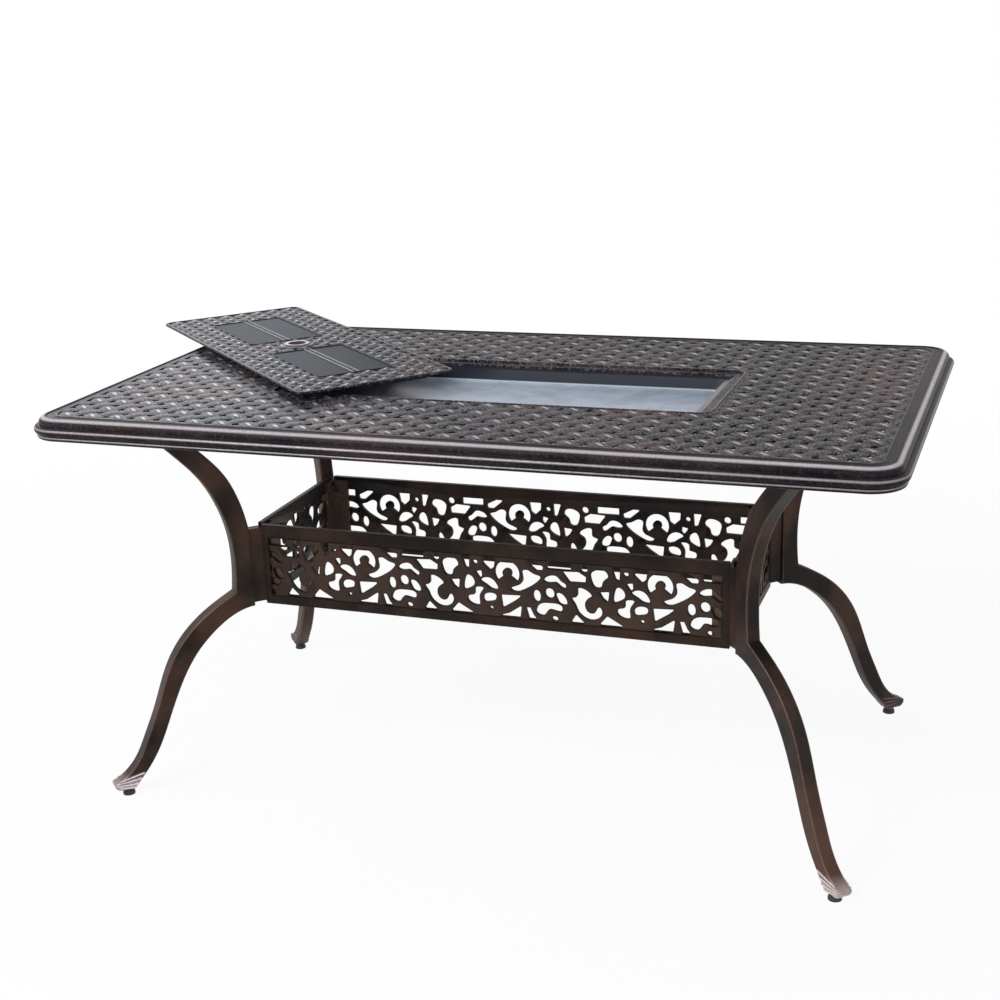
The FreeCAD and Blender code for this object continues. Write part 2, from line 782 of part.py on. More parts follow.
def apronBoltStarts(offset):
    """Where each apron screw enters its ear in the right rear corner, and the way it points."""
    inset = postSide + endGap + apronBoltInset
    face = apronThickness + earThickness - offset
    starts = []
    for level in (apronBottom + longApronBoltMargin, apronTop - longApronBoltMargin):
        starts.append((V(halfBoxX - inset, halfBoxY - face, level), V(0, 1, 0)))
    for level in (apronBottom + shortApronBoltMargin, apronTop - shortApronBoltMargin):
        starts.append((V(halfBoxX - face, halfBoxY - inset, level), V(1, 0, 0)))
    return starts


def footBore():
    seat = legPlace(footReach, 0, footFaceHeight - overrun)
    wide = Part.makeCylinder(bushDiameter / 2 + threadFit, bushLength + overrun, seat)
    narrow = Part.makeCylinder(stemDiameter / 2 + holeClearance, stemHoleDepth + overrun, seat)
    return wide.fuse(narrow)


# Fasteners
def hexHead(width, height):
    corners = []
    for step in range(6):
        turn = math.radians(60 * step)
        corners.append(V(width / 2 * math.cos(turn), width / 2 * math.sin(turn), -height))
    return closedPrism(corners, V(0, 0, height))


def aimed(shape, start, direction):
    """Turn a fastener made along +Z to point along the direction, and move it to its start."""
    if direction.z == 0:
        shape.rotate(V(0, 0, 0), V(0, 0, 1).cross(direction), 90)
    shape.translate(start)
    return shape


def bolt(diameter, grip, reach, washer):
    """Hexagon bolt along +Z: its head is below the washer, whose upper face is on z = 0."""
    head = hexHead(2 * diameter * headWidthShare / root3, diameter * headHeightShare)
    head.translate(V(0, 0, -washer))
    shank = Part.makeCylinder(diameter / 2, washer + grip + reach, V(0, 0, -washer))
    return fused(head, [shank])


def washer(diameter):
    outer = Part.makeCylinder(diameter * washerWidthShare / 2, washerThickness)
    hole = Part.makeCylinder(diameter / 2 + washerClearance, washerThickness)
    shape = outer.cut(hole)
    shape.translate(V(0, 0, -washerThickness))
    return shape


def allCorners(shapes):
    """One compound of the given pieces in all four corners of the table."""
    copies = []
    for shape in shapes:
        copies += list(quarterCopies(shape).values())
    return Part.makeCompound(copies)


def topFasteners():
    bolts = []
    washers = []
    for along, across in topBoltPlaces():
        start = legPlace(along, across, legTop)
        tip = topBoltReach - boltTipGap
        bolts.append(aimed(bolt(topBoltDiameter, flangeThickness, tip, washerThickness), start, V(0, 0, 1)))
        washers.append(aimed(washer(topBoltDiameter), start, V(0, 0, 1)))
    return allCorners(bolts), allCorners(washers)


def apronFasteners():
    bolts = []
    washers = []
    for start, direction in apronBoltStarts(0):
        tip = apronBoltReach - boltTipGap
        bolts.append(aimed(bolt(apronBoltDiameter, earThickness, tip, washerThickness), start, direction))
        washers.append(aimed(washer(apronBoltDiameter), start, direction))
    return allCorners(bolts), allCorners(washers)


# Adjustable feet
def footPad():
    top = footFaceHeight - seatGap
    pad = Part.makeCylinder(footDiameter / 2, footPadHeight)
    start = V(0, 0, footPadHeight)
    cone = Part.makeCone(footDiameter / 2, footNeckDiameter / 2, top - footPadHeight, start)
    hole = Part.makeCylinder(stemDiameter / 2 + threadFit, top + overrun, V(0, 0, stemSeat))
    shape = fused(pad, [cone]).cut(hole)
    shape.translate(legPlace(footReach, 0, 0))
    return shape


def footStem():
    return Part.makeCylinder(stemDiameter / 2, stemLength, legPlace(footReach, 0, stemSeat))


def footBush():
    seat = legPlace(footReach, 0, footFaceHeight)
    body = Part.makeCylinder(bushDiameter / 2, bushLength, seat)
    return body.cut(Part.makeCylinder(stemDiameter / 2 + threadFit, bushLength, seat))


save(tableTop(), "table_top")
save(fireTray(), "fire_tray")
save(lidPlate(), "lid_plate")
save(lidRing(), "lid_ring")
for node, panel in placedAprons().items():
    save(panel, node)
for corner, leg in quarterCopies(legCasting()).items():
    save(leg, "leg_" + corner)
for name, shapes in (("foot_pad_", footPad()), ("foot_stem_", footStem())):
    for corner, copy in quarterCopies(shapes).items():
        save(copy, name + corner)
save(allCorners([footBush()]), "foot_bushes")
topBolts, topWashers = topFasteners()
save(topBolts, "leg_bolts")
save(topWashers, "leg_washers")
apronBolts, apronWashers = apronFasteners()
save(apronBolts, "apron_bolts")
save(apronWashers, "apron_washers")
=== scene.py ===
import math

import bmesh
import bpy
from mathutils import Matrix, Vector


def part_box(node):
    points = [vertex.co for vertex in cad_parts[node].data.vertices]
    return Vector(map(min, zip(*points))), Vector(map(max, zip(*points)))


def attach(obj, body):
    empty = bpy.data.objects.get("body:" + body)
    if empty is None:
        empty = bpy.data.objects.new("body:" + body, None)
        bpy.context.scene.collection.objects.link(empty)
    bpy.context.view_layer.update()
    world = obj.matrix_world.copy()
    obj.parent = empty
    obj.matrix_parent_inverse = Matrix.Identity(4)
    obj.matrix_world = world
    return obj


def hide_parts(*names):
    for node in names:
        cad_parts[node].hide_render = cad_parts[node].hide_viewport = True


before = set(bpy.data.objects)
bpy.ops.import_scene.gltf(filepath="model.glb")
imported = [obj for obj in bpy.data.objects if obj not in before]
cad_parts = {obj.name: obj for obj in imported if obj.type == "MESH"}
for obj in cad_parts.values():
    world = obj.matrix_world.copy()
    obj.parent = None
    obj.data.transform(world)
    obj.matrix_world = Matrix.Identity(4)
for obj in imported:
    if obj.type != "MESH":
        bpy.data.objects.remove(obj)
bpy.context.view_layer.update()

mm = 0.001
deg = math.pi / 180
root2 = math.sqrt(2)
collection = bpy.context.scene.collection
print("frame loaded:", len(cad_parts), "nodes")

# What the pieces of the table share, in millimetres. The outer sizes come from the frame.
topLow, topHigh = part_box("table_top")
table = {
    "halfX": topHigh.x / mm,
    "halfY": topHigh.y / mm,
    "top": topHigh.z / mm,
    "edgeBottom": topLow.z / mm,
    "plate": 6.0,
    "cornerRadius": 62.0,
}


def addObject(name, data):
    item = bpy.data.objects.new(name, data)
    collection.objects.link(item)
    return item


# Camera

camera = {
    "place": (0.963, -2.7305, 1.4158),
    "yaw": -0.3719,
    "pitch": 0.2896,
    "roll": -0.0433,
    "sensor": 36.0,
    "lens": 58.73,
    "shift": (0.0395, -0.019),
    "clip": (0.05, 60.0),
}


def addCamera():
    data = bpy.data.cameras.new("camera")
    data.sensor_width = camera["sensor"]
    data.lens = camera["lens"]
    data.shift_x, data.shift_y = camera["shift"]
    data.clip_start, data.clip_end = camera["clip"]
    yaw, pitch, roll = camera["yaw"], camera["pitch"], camera["roll"]
    level = math.cos(pitch)
    forward = Vector((math.sin(yaw) * level, math.cos(yaw) * level, -math.sin(pitch)))
    side = Vector((math.cos(yaw), -math.sin(yaw), 0))
    rise = side.cross(forward)
    right = side * math.cos(roll) + rise * math.sin(roll)
    up = rise * math.cos(roll) - side * math.sin(roll)
    turn = Matrix((right, up, -forward)).transposed()
    item = addObject("camera", data)
    item.matrix_world = Matrix.Translation(camera["place"]) @ turn.to_4x4()
    bpy.context.scene.camera = item


addCamera()


# Lights

lamps = {
    "key": {"place": (-1.8, -3.0, 3.6), "aim": (0, 0, 0.5), "size": (2.4, 1.6), "power": 150},
    "fill": {"place": (3.4, -1.6, 2.0), "aim": (0, 0, 0.5), "size": (2.0, 2.4), "power": 12},
    "window": {"place": (-2.9, 3.3, 2.1), "aim": (-0.3, 0, 0.74), "size": (1.9, 1.5), "power": 31,
               "colour": (0.86, 0.92, 1.0)},
}


def addLamp(name, lamp):
    data = bpy.data.lights.new(name, "AREA")
    data.shape = "RECTANGLE"
    data.size, data.size_y = lamp["size"]
    data.energy = lamp["power"]
    data.color = lamp.get("colour", (1, 1, 1))
    turn = (Vector(lamp["aim"]) - Vector(lamp["place"])).to_track_quat("-Z", "Y")
    matrix = Matrix.Translation(lamp["place"]) @ turn.to_matrix().to_4x4()
    addObject(name, data).matrix_world = matrix


for name, lamp in lamps.items():
    addLamp(name, lamp)


# Shader maths: a thin wrapper round a socket

class Wire:
    def __init__(self, tree, socket):
        self.tree = tree
        self.socket = socket

    def node(self, kind, settings=None, inputs=None, output=0):
        item = self.tree.nodes.new(kind)
        for key, value in (settings or {}).items():
            setattr(item, key, value)
        for key, value in (inputs or {}).items():
            self.feed(item.inputs[key], value)
        return Wire(self.tree, item.outputs[output])

    def feed(self, socket, value):
        if isinstance(value, Wire):
            self.tree.links.new(value.socket, socket)
        else:
            socket.default_value = value

    def math(self, operation, first, second=0.0, clamp=False):
        settings = {"operation": operation, "use_clamp": clamp}
        return self.node("ShaderNodeMath", settings, {0: first, 1: second})

    def __add__(self, other):
        return self.math("ADD", self, other)

    def __sub__(self, other):
        return self.math("SUBTRACT", self, other)

    def __mul__(self, other):
        return self.math("MULTIPLY", self, other)

    def __truediv__(self, other):
        return self.math("DIVIDE", self, other)

    def __radd__(self, other):
        return self.math("ADD", other, self)

    def __rsub__(self, other):
        return self.math("SUBTRACT", other, self)

    def __rmul__(self, other):
        return self.math("MULTIPLY", other, self)

    def __rtruediv__(self, other):
        return self.math("DIVIDE", other, self)

    def clamp(self):
        return self.math("ADD", self, 0.0, clamp=True)

    def axis(self, index):
        # One number of a vector: 0, 1 and 2 for X, Y and Z.
        return self.node("ShaderNodeSeparateXYZ", inputs={"Vector": self}, output=index)

    def ramp(self, low, high):
        # Smooth step from 0 at low to 1 at high.
        return self.node(
            "ShaderNodeMapRange",
            {"interpolation_type": "SMOOTHSTEP"},
            {"Value": self, "From Min": low, "From Max": high, "To Min": 0.0, "To Max": 1.0},
        )

    def mix(self, first, second):
        # Mix two colours by this value.
        inputs = {"Factor": self, 6: first, 7: second}
        return self.node("ShaderNodeMix", {"data_type": "RGBA"}, inputs, output=2)


def colour(tone, tint=(1, 1, 1)):
    return (*(value * share for value, share in zip(tone, tint)), 1.0)


def newMaterial(name):
    # A material with its Principled shader, a wrapper to build on and its object coordinates.
    item = bpy.data.materials.new(name)
    item.use_nodes = True
    tree = item.node_tree
    start = Wire(tree, None)
    return item, tree.nodes["Principled BSDF"], start, start.node("ShaderNodeTexCoord", output=3)


def setShader(start, shader, values):
    # Link or set each named socket of a shader.
    for key, value in values.items():
        start.feed(shader.inputs[key], value)


def noise(place, scale, detail=3.0):
    inputs = {"Vector": place, "Scale": scale, "Detail": detail, "Roughness": 0.55}
    return place.node("ShaderNodeTexNoise", {"noise_dimensions": "3D"}, inputs)


def varied(mask, low, gain):
    # A value that rises from low with the mask.
    return low + mask * gain


def bump(height, distance, strength):
    inputs = {"Strength": strength, "Distance": distance, "Height": height}
    return height.node("ShaderNodeBump", inputs=inputs)


def wearSheen(place):
    # The piece's own rub attribute, which also carries a painted highlight: 0 in hollows and 1 on
    # crests.
    return place.node("ShaderNodeAttribute", {"attribute_name": "rubSheen"}, output=2)


# Powder coat of the castings: noises as scale and detail, spans as the values faded between.
coat = {
    "patches": (9.0, 4.0),
    "patchSpan": (0.35, 0.68),
    "fine": (240.0, 3.0),
    "grain": (900.0, 2.0),
    "warm": (3.1, 2.0),
    "warmSpan": (0.48, 0.7),
    "warmShare": 0.6,
    "warmTint": (2.0, 1.3, 0.9),
    "mottle": (85.0, 3.0),
    "mottleSpan": (0.55, 0.72),
    "mottleShare": 0.5,
    "speckle": (210.0, 2.0),
    "speckleSpan": (0.5, 0.66),
    "speckleTint": (0.7, 0.7, 0.7),
    "rubSpan": (0.35, 0.95),
    "rubGrain": (0.55, 0.9),
    "roughGain": 0.12,
    "rubGloss": 0.10,
    "bumpDepth": 0.00025,
    "bumpStrength": 0.6,
}
bronze = {
    "top": {
        "name": "top bronze", "rough": 0.34, "metal": 0.0, "rubMetal": 0.6, "ior": 1.17,
        "speckle": 0.24, "rubShare": 0.55,
        "dark": (0.008, 0.007, 0.010), "base": (0.040, 0.034, 0.038), "rubSheen": (0.80, 0.70, 0.73),
    },
    "mould": {
        "name": "moulding bronze", "rough": 0.32, "metal": 0.0, "rubMetal": 0.4, "ior": 1.15,
        "speckle": 0.05, "rubShare": 0.85,
        "dark": (0.006, 0.005, 0.006), "base": (0.022, 0.018, 0.021), "rubSheen": (0.56, 0.50, 0.525),
    },
    "frame": {
        "name": "frame bronze", "rough": 0.42, "metal": 0.3, "rubMetal": 0.2, "ior": 1.3,
        "speckle": 0.02, "rubShare": 0.35,
        "dark": (0.009, 0.006, 0.005), "base": (0.040, 0.021, 0.014), "rubSheen": (0.26, 0.165, 0.13),
    },
    # Flutes of the toes: pale rub with a painted highlight.
    "toe": {
        "name": "toe bronze", "rough": 0.30, "metal": 0.3, "rubMetal": 0.4, "ior": 1.45,
        "speckle": 0.0, "rubShare": 0.9,
        "dark": (0.03, 0.02, 0.02), "base": (0.16, 0.11, 0.11), "rubSheen": (0.80, 0.68, 0.68),
    },
}


def bronzeFinish(tones):
    # Dark powder coat with a rubbed copper tone and a painted highlight on the crests, and a fine
    # grain.
    item, shader, start, place = newMaterial(tones["name"])
    dark, base, rubSheen = colour(tones["dark"]), colour(tones["base"]), colour(tones["rubSheen"])
    patches = noise(place, *coat["patches"])
    grain = noise(place, *coat["grain"])
    fine = noise(place, *coat["fine"])
    wornSheen = wearSheen(place).ramp(*coat["rubSpan"])
    # rubbed: the copper rub and the painted highlight on the crests
    rubbed = (wornSheen * varied(fine, *coat["rubGrain"]) * tones["rubShare"]).clamp()
    warm = noise(place, *coat["warm"]).ramp(*coat["warmSpan"]) * coat["warmShare"]
    mottle = noise(place, *coat["mottle"]).ramp(*coat["mottleSpan"]) * coat["mottleShare"]
    speckle = noise(place, *coat["speckle"]).ramp(*coat["speckleSpan"]) * tones["speckle"]
    body = patches.ramp(*coat["patchSpan"]).mix(dark, base)
    body = warm.mix(body, colour(tones["base"], coat["warmTint"]))
    body = mottle.mix(body, dark)
    body = speckle.mix(body, colour(tones["rubSheen"], coat["speckleTint"]))
    setShader(start, shader, {
        "Base Color": rubbed.mix(body, rubSheen),
        "Metallic": varied(rubbed, tones["metal"], tones["rubMetal"]),
        "Roughness": tones["rough"] + patches * coat["roughGain"] - rubbed * coat["rubGloss"],
        "Normal": bump((grain + fine) * 0.5, coat["bumpDepth"], coat["bumpStrength"]),
        "IOR": tones["ior"],
    })
    return item


finishes = {key: bronzeFinish(tones) for key, tones in bronze.items()}
print("bronze finishes made")


# Mesh helpers

def roundedLoop(halfX, halfY, radius, height, steps):
    points = []
    for quarter, (sx, sy) in enumerate(((1, -1), (1, 1), (-1, 1), (-1, -1))):
        for step in range(steps + 1):
            turn = (quarter - 1 + step / steps) * math.pi / 2
            x = sx * (halfX - radius) + radius * math.cos(turn)
            y = sy * (halfY - radius) + radius * math.sin(turn)
            points.append((x, y, height))
    return points


def bridged(bm, rings, closed):
    # Skin a list of vertex rings, and cap the two ends where the row isn't closed.
    count = len(rings[0])
    pairs = list(zip(rings, rings[1:]))
    if closed:
        pairs.append((rings[-1], rings[0]))
    for lower, upper in pairs:
        for index in range(count):
            follow = (index + 1) % count
            bm.faces.new((lower[index], lower[follow], upper[follow], upper[index]))
    if not closed:
        bm.faces.new(reversed(rings[0]))
        bm.faces.new(rings[-1])


def loftRings(bm, rows, steps, closed=True):
    # Each row is a half length, half depth, corner radius and height in millimetres, and the rub
    # with its painted highlight.
    rubSheen = bm.verts.layers.float.get("rubSheen") or bm.verts.layers.float.new("rubSheen")
    rings = []
    for halfX, halfY, radius, height, wornSheen in rows:
        ring = [bm.verts.new(point) for point in roundedLoop(halfX, halfY, radius, height, steps)]
        for vertex in ring:
            vertex[rubSheen] = wornSheen
        rings.append(ring)
    bridged(bm, rings, closed)
    return [vertex for ring in rings for vertex in ring]


def outlineRows(halfX, halfY, radius, section, least=0.0):
    # Rows round an outline from a section: outwards from it, height, and rub with its painted
    # highlight.
    rows = []
    for out, height, wornSheen in section:
        rows.append((halfX + out, halfY + out, max(radius + out, least), height, wornSheen))
    return rows


def block(bm, middle, size, wornSheen=0.0, ease=0.6):
    # A box with eased edges, by its middle and its full size.
    halfX, halfY, halfZ = (value / 2 for value in size)
    section = [
        (-ease, -halfZ, wornSheen), (0.0, ease - halfZ, wornSheen),
        (0.0, halfZ - ease, wornSheen), (-ease, halfZ, wornSheen),
    ]
    rows = outlineRows(halfX, halfY, ease, section, ease)
    made = loftRings(bm, rows, 2, closed=False)
    for vertex in made:
        vertex.co += Vector(middle)
    return made


def plainMesh(name, bm):
    mesh = bpy.data.meshes.new(name)
    bm.to_mesh(mesh)
    bm.free()
    return mesh


def solidObject(name, bm):
    # A closed mesh as an object to lay out or to cut with.
    bmesh.ops.recalc_face_normals(bm, faces=bm.faces)
    return addObject(name, plainMesh(name, bm))


def finishPiece(name, bm, finish, body, nodes=(), sharp=35, place=None, unit=mm):
    # Turn a mesh built in millimetres into a finished piece in the frame.
    bmesh.ops.remove_doubles(bm, verts=bm.verts, dist=1e-5 * mm / unit)
    bmesh.ops.recalc_face_normals(bm, faces=bm.faces)
    if place is not None:
        bm.transform(place)
    bm.transform(Matrix.Scale(unit, 4))
    mesh = plainMesh(name, bm)
    mesh.shade_smooth()
    mesh.set_sharp_from_angle(angle=sharp * deg)
    mesh.materials.append(finishes[finish])
    item = addObject(name, mesh)
    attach(item, body)
    if nodes:
        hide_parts(*nodes)


# Geometry Nodes: a small builder for one tree

socketKinds = {
    float: "NodeSocketFloat",
    int: "NodeSocketInt",
    bpy.types.Object: "NodeSocketObject",
    bpy.types.Material: "NodeSocketMaterial",
}


class Grower:
    def __init__(self, name, inputs):
        self.tree = bpy.data.node_groups.new(name, "GeometryNodeTree")
        self.inputs = inputs
        self.keys = {}
        face = self.tree.interface
        face.new_socket("Geometry", in_out="INPUT", socket_type="NodeSocketGeometry")
        for key, value in inputs.items():
            kind = socketKinds[type(value)]
            self.keys[key] = face.new_socket(key, in_out="INPUT", socket_type=kind).identifier
        face.new_socket("Geometry", in_out="OUTPUT", socket_type="NodeSocketGeometry")
        self.start = self.tree.nodes.new("NodeGroupInput")
        self.wire = Wire(self.tree, self.start.outputs[0])

    def __getitem__(self, key):
        return Wire(self.tree, self.start.outputs[key])

    def end(self, wire):
        # Realise the instances and give them their material.
        real = self.wire.node("GeometryNodeRealizeInstances", inputs={0: wire})
        inputs = {"Geometry": real, "Material": self["Finish"]}
        dressed = self.wire.node("GeometryNodeSetMaterial", inputs=inputs)
        out = self.tree.nodes.new("NodeGroupOutput")
        self.tree.links.new(dressed.socket, out.inputs[0])

    def grow(self, source):
        # Evaluate the tree on the source object and return the result as a plain mesh.
        modifier = source.modifiers.new("grow", "NODES")
        modifier.node_group = self.tree
        for key, identifier in self.keys.items():
            modifier[identifier] = self.inputs[key]
        graph = bpy.context.evaluated_depsgraph_get()
        mesh = bpy.data.meshes.new_from_object(source.evaluated_get(graph))
        source.modifiers.remove(modifier)
        return mesh


# Woven lattice: flat straps at 45 degrees that pass over and under each other, cast in one

weave = {
    "pitch": 36.0,
    "strap": 25.0,
    "shoulder": 5.5,
    "rise": 1.05,
    "crown": 1.3,
    "thick": 4.4,
    "strapRub": 0.15,
    "crestRub": 0.85,
    "crestPower": 0.8,
    "underRub": 0.2,
    "edgeRub": 0.5,
    "dullShare": 0.55,  # share of rub and painted highlight left on every second crossing, whose over strap runs the way that catches less light
    "tuck": 1.5,  # how far the lattice runs into its frames
    "cutReach": 30.0,
    "cutSteps": 10,
    "sharp": 30,
}


def weaveCell(scaleShare):
    # One crossing: the strap along X passes over the strap along Y.
    pitch = weave["pitch"] * scaleShare
    shoulder = weave["shoulder"] * scaleShare
    half = weave["strap"] * scaleShare / 2
    reach = pitch / 2
    columns = (-half, -shoulder, 0.0, shoulder, half)
    rows = (-reach, -half, -shoulder, 0.0, shoulder, half, reach)
    bm = bmesh.new()
    rubSheen = bm.verts.layers.float.new("rubSheen")

    def level(along, across, sign):
        wave = sign * weave["rise"] * math.cos(math.pi * along / pitch)
        return wave - weave["crown"] * (abs(across) / half) ** 2

    def vertex(x, y, z, wornSheen):
        item = bm.verts.new((x, y, z))
        item[rubSheen] = wornSheen
        return item

    def sheet(grid):
        for first, second in zip(grid, grid[1:]):
            for index in range(len(first) - 1):
                bm.faces.new((first[index], first[index + 1], second[index + 1], second[index]))

    over = []
    for x in rows:
        line = []
        for y in columns:
            # The crest line of the over strap is lighter: rub with a painted highlight along it.
            ridge = max(0.0, 1 - abs(y) / shoulder) ** weave["crestPower"]
            crest = math.cos(math.pi * x / pitch) * ridge
            wornSheen = weave["strapRub"] + weave["crestRub"] * crest
            line.append(vertex(x, y, level(x, y, 1), wornSheen))
        over.append(line)
    sheet(over)
    for side in (-1, 1):
        edge = side * half
        under = []
        for y in (side * reach, edge):
            under.append([vertex(x, y, level(y, x, -1), weave["underRub"]) for x in columns])
        sheet(under)
        upper = [vertex(x, edge, level(x, edge, 1), weave["edgeRub"]) for x in columns]
        lower = [vertex(x, edge, level(edge, x, -1), 0.0) for x in columns]
        sheet([lower, upper])
    plan = {}

    def base(x, y):
        key = (round(x, 4), round(y, 4))
        if key not in plan:
            plan[key] = vertex(x, y, -weave["thick"], 0.0)
        return plan[key]

    for x0, x1, y0, y1 in (
        (-half, half, -half, half),
        (half, reach, -half, half),
        (-reach, -half, -half, half),
        (-half, half, half, reach),
        (-half, half, -reach, -half),
    ):
        bm.faces.new((base(x0, y0), base(x0, y1), base(x1, y1), base(x1, y0)))
    for sx in (-1, 1):
        for sy in (-1, 1):
            x, y = sx * half, sy * half
            inner = vertex(x, y, level(x, y, 1), weave["underRub"])
            foot = vertex(x, y, level(y, x, -1), 0.0)
            outer = vertex(sx * reach, y, level(reach, y, 1), weave["underRub"])
            bm.faces.new((base(x, y), base(sx * reach, y), outer, inner, foot))
            foot = vertex(x, y, level(y, x, -1), 0.0)
            outer = vertex(x, sy * reach, level(reach, x, -1), weave["underRub"])
            bm.faces.new((base(x, y), base(x, sy * reach), outer, foot))
    bmesh.ops.remove_doubles(bm, verts=bm.verts, dist=1e-4)
    return solidObject("crossing", bm)


def keepRing(outer, inner):
    # The solid between two rounded outlines, each a half length, half depth and corner radius.
    reach = weave["cutReach"]
    bm = bmesh.new()
    rows = [(*outer, -reach, 0), (*outer, reach, 0), (*inner, reach, 0), (*inner, -reach, 0)]
    loftRings(bm, rows, weave["cutSteps"])
    return solidObject("keep", bm)


def growLattice(name, area, scaleShare):
    # Lay crossings over the whole area, turned 45 degrees, every second one turned a quarter more.
    pitch = weave["pitch"] * scaleShare
    cell = weaveCell(scaleShare)
    span = area["halfX"] + area["halfY"]
    grower = Grower(name, {
        "Crossing": cell,
        "Pitch": pitch,
        "Count": 2 * math.ceil(span / root2 / pitch) + 3,
        "Half Length": area["halfX"] + pitch,
        "Half Depth": area["halfY"] + pitch,
        "Hollow Length": area.get("hollowX", 0.0) - pitch,
        "Hollow Depth": area.get("hollowY", 0.0) - pitch,
        "Finish": finishes["top"],
    })
    start = grower.wire
    count = grower["Count"]
    reach = (count - 1.0) * grower["Pitch"]
    grid = start.node(
        "GeometryNodeMeshGrid",
        inputs={"Size X": reach, "Size Y": reach, "Vertices X": count, "Vertices Y": count},
    )
    place = start.node("GeometryNodeInputPosition")
    alongX, alongY = place.axis(0), place.axis(1)
    steps = start.math("ROUND", (alongX + alongY) / grower["Pitch"])
    odd = start.math("FLOORED_MODULO", steps, 2.0)
    stored = start.node(
        "GeometryNodeStoreNamedAttribute",
        {"data_type": "FLOAT", "domain": "POINT"},
        {"Geometry": grid, "Name": "turn", "Value": odd * (math.pi / 2) + math.pi / 4},
    )
    turned = start.node(
        "GeometryNodeTransform", inputs={"Geometry": stored, "Rotation": (0, 0, math.pi / 4)}
    )
    sizeX, sizeY = start.math("ABSOLUTE", alongX), start.math("ABSOLUTE", alongY)
    outside = start.math(
        "MAXIMUM",
        start.math("GREATER_THAN", sizeX, grower["Half Length"]),
        start.math("GREATER_THAN", sizeY, grower["Half Depth"]),
    )
    inHollow = start.math("LESS_THAN", sizeX, grower["Hollow Length"]) * start.math(
        "LESS_THAN", sizeY, grower["Hollow Depth"]
    )
    kept = start.node(
        "GeometryNodeDeleteGeometry",
        {"domain": "POINT"},
        {"Geometry": turned, "Selection": start.math("GREATER_THAN", outside + inHollow, 0.5)},
    )
    source = start.node("GeometryNodeObjectInfo", inputs={"Object": grower["Crossing"]}, output=4)
    turn = start.node("GeometryNodeInputNamedAttribute", {"data_type": "FLOAT"}, {"Name": "turn"})
    rotation = start.node("ShaderNodeCombineXYZ", inputs={"Z": turn})
    laid = start.node(
        "GeometryNodeInstanceOnPoints",
        inputs={"Points": kept, "Instance": source, "Rotation": rotation},
    )
    grower.end(laid)
    base = addObject("base", bpy.data.meshes.new("base"))
    mesh = grower.grow(base)
    bpy.data.objects.remove(base)
    bpy.data.objects.remove(cell)
    bm = bmesh.new()
    bm.from_mesh(mesh)
    bmesh.ops.remove_doubles(bm, verts=bm.verts, dist=1e-3)
    bmesh.ops.holes_fill(bm, edges=[edge for edge in bm.edges if edge.is_boundary], sides=0)
    bmesh.ops.recalc_face_normals(bm, faces=bm.faces)
    turns, rubSheen = bm.verts.layers.float["turn"], bm.verts.layers.float["rubSheen"]
    # Painted shade: the over straps of every second crossing keep only a share of their rub and
    # highlight.
    for vertex in bm.verts:
        if vertex[turns] < math.pi / 2:
            vertex[rubSheen] *= weave["dullShare"]
    bm.to_mesh(mesh)
    bm.free()
    return addObject(name, mesh)


def trimmed(item, cutters):
    # Keep or cut the lattice by closed solids, and return it as a mesh to build on.
    for operation, cutter in cutters:
        modifier = item.modifiers.new("trim", "BOOLEAN")
        modifier.operation = operation
        modifier.object = cutter
        modifier.solver = "EXACT"
    graph = bpy.context.evaluated_depsgraph_get()
    mesh = bpy.data.meshes.new_from_object(item.evaluated_get(graph))
    bm = bmesh.new()
    bm.from_mesh(mesh)
    bpy.data.objects.remove(item)
    for _, cutter in cutters:
        bpy.data.objects.remove(cutter)
    return bm


# Table top: the moulded edge with its border band

def finishTop(name, bm, finish, sharp=35, place=None):
    finishPiece(name, bm, finish, "table", ["table_top"], sharp, place)


rim = {
    "bandInner": 41.0,
    "bandDrop": 1.5,
    # Ridge round the field: outwards from it, rise over the band, rub with painted highlight.
    "fieldRidge": ((0.0, 0.0, 0.1), (1.2, 0.9, 0.5), (2.4, 0.9, 0.5), (3.8, 0.0, 0.1)),
    # Groove inside the upper bead: inwards from the bead, drop below the band, rub with painted
    # highlight.
    "bandGroove": ((3.2, 0.0, 0.1), (1.6, 0.4, 0.0)),
    # Step over the middle bead: inwards from the upper bead's outside, rise over the middle bead.
    "beadStep": ((0.7, 0.9), (0.3, 0.2)),
    "fieldRadius": 26.0,
    "upperInset": 9.0,
    "upperRadius": 13.0,
    "middleDrop": 15.0,
    "middleRadius": 7.5,
    "lowerInset": 4.5,
    "skirtInner": 17.0,
    "skirtEase": 0.8,
    "steps": 12,
    # Each bead's arc, and where the rub with its painted highlight lies on it and over how many
    # degrees; the crests are set where the light catches the beads.
    "upper": {"start": 90, "end": 180, "steps": 14, "crest": 118, "spread": 26, "rubSheen": 0.92},
    "middle": {"start": 90, "end": 270, "steps": 24, "crest": 149, "spread": 30, "rubSheen": 0.68},
    "lower": {"start": 100, "end": 270, "steps": 16, "crest": 150, "spread": 38, "rubSheen": 0.72},
}


def bead(arc, insetMiddle, dropMiddle, radius):
    # Points of an arc of the moulding's section: inset from the edge, drop from the top, rub with
    # painted highlight.
    points = []
    for step in range(arc["steps"] + 1):
        turn = arc["start"] + (arc["end"] - arc["start"]) * step / arc["steps"]
        rubSheen = arc["rubSheen"] * math.exp(-((turn - arc["crest"]) / arc["spread"]) ** 2)
        x, drop = radius * math.cos(turn * deg), radius * math.sin(turn * deg)
        points.append((insetMiddle + x, dropMiddle - drop, rubSheen))
    return points


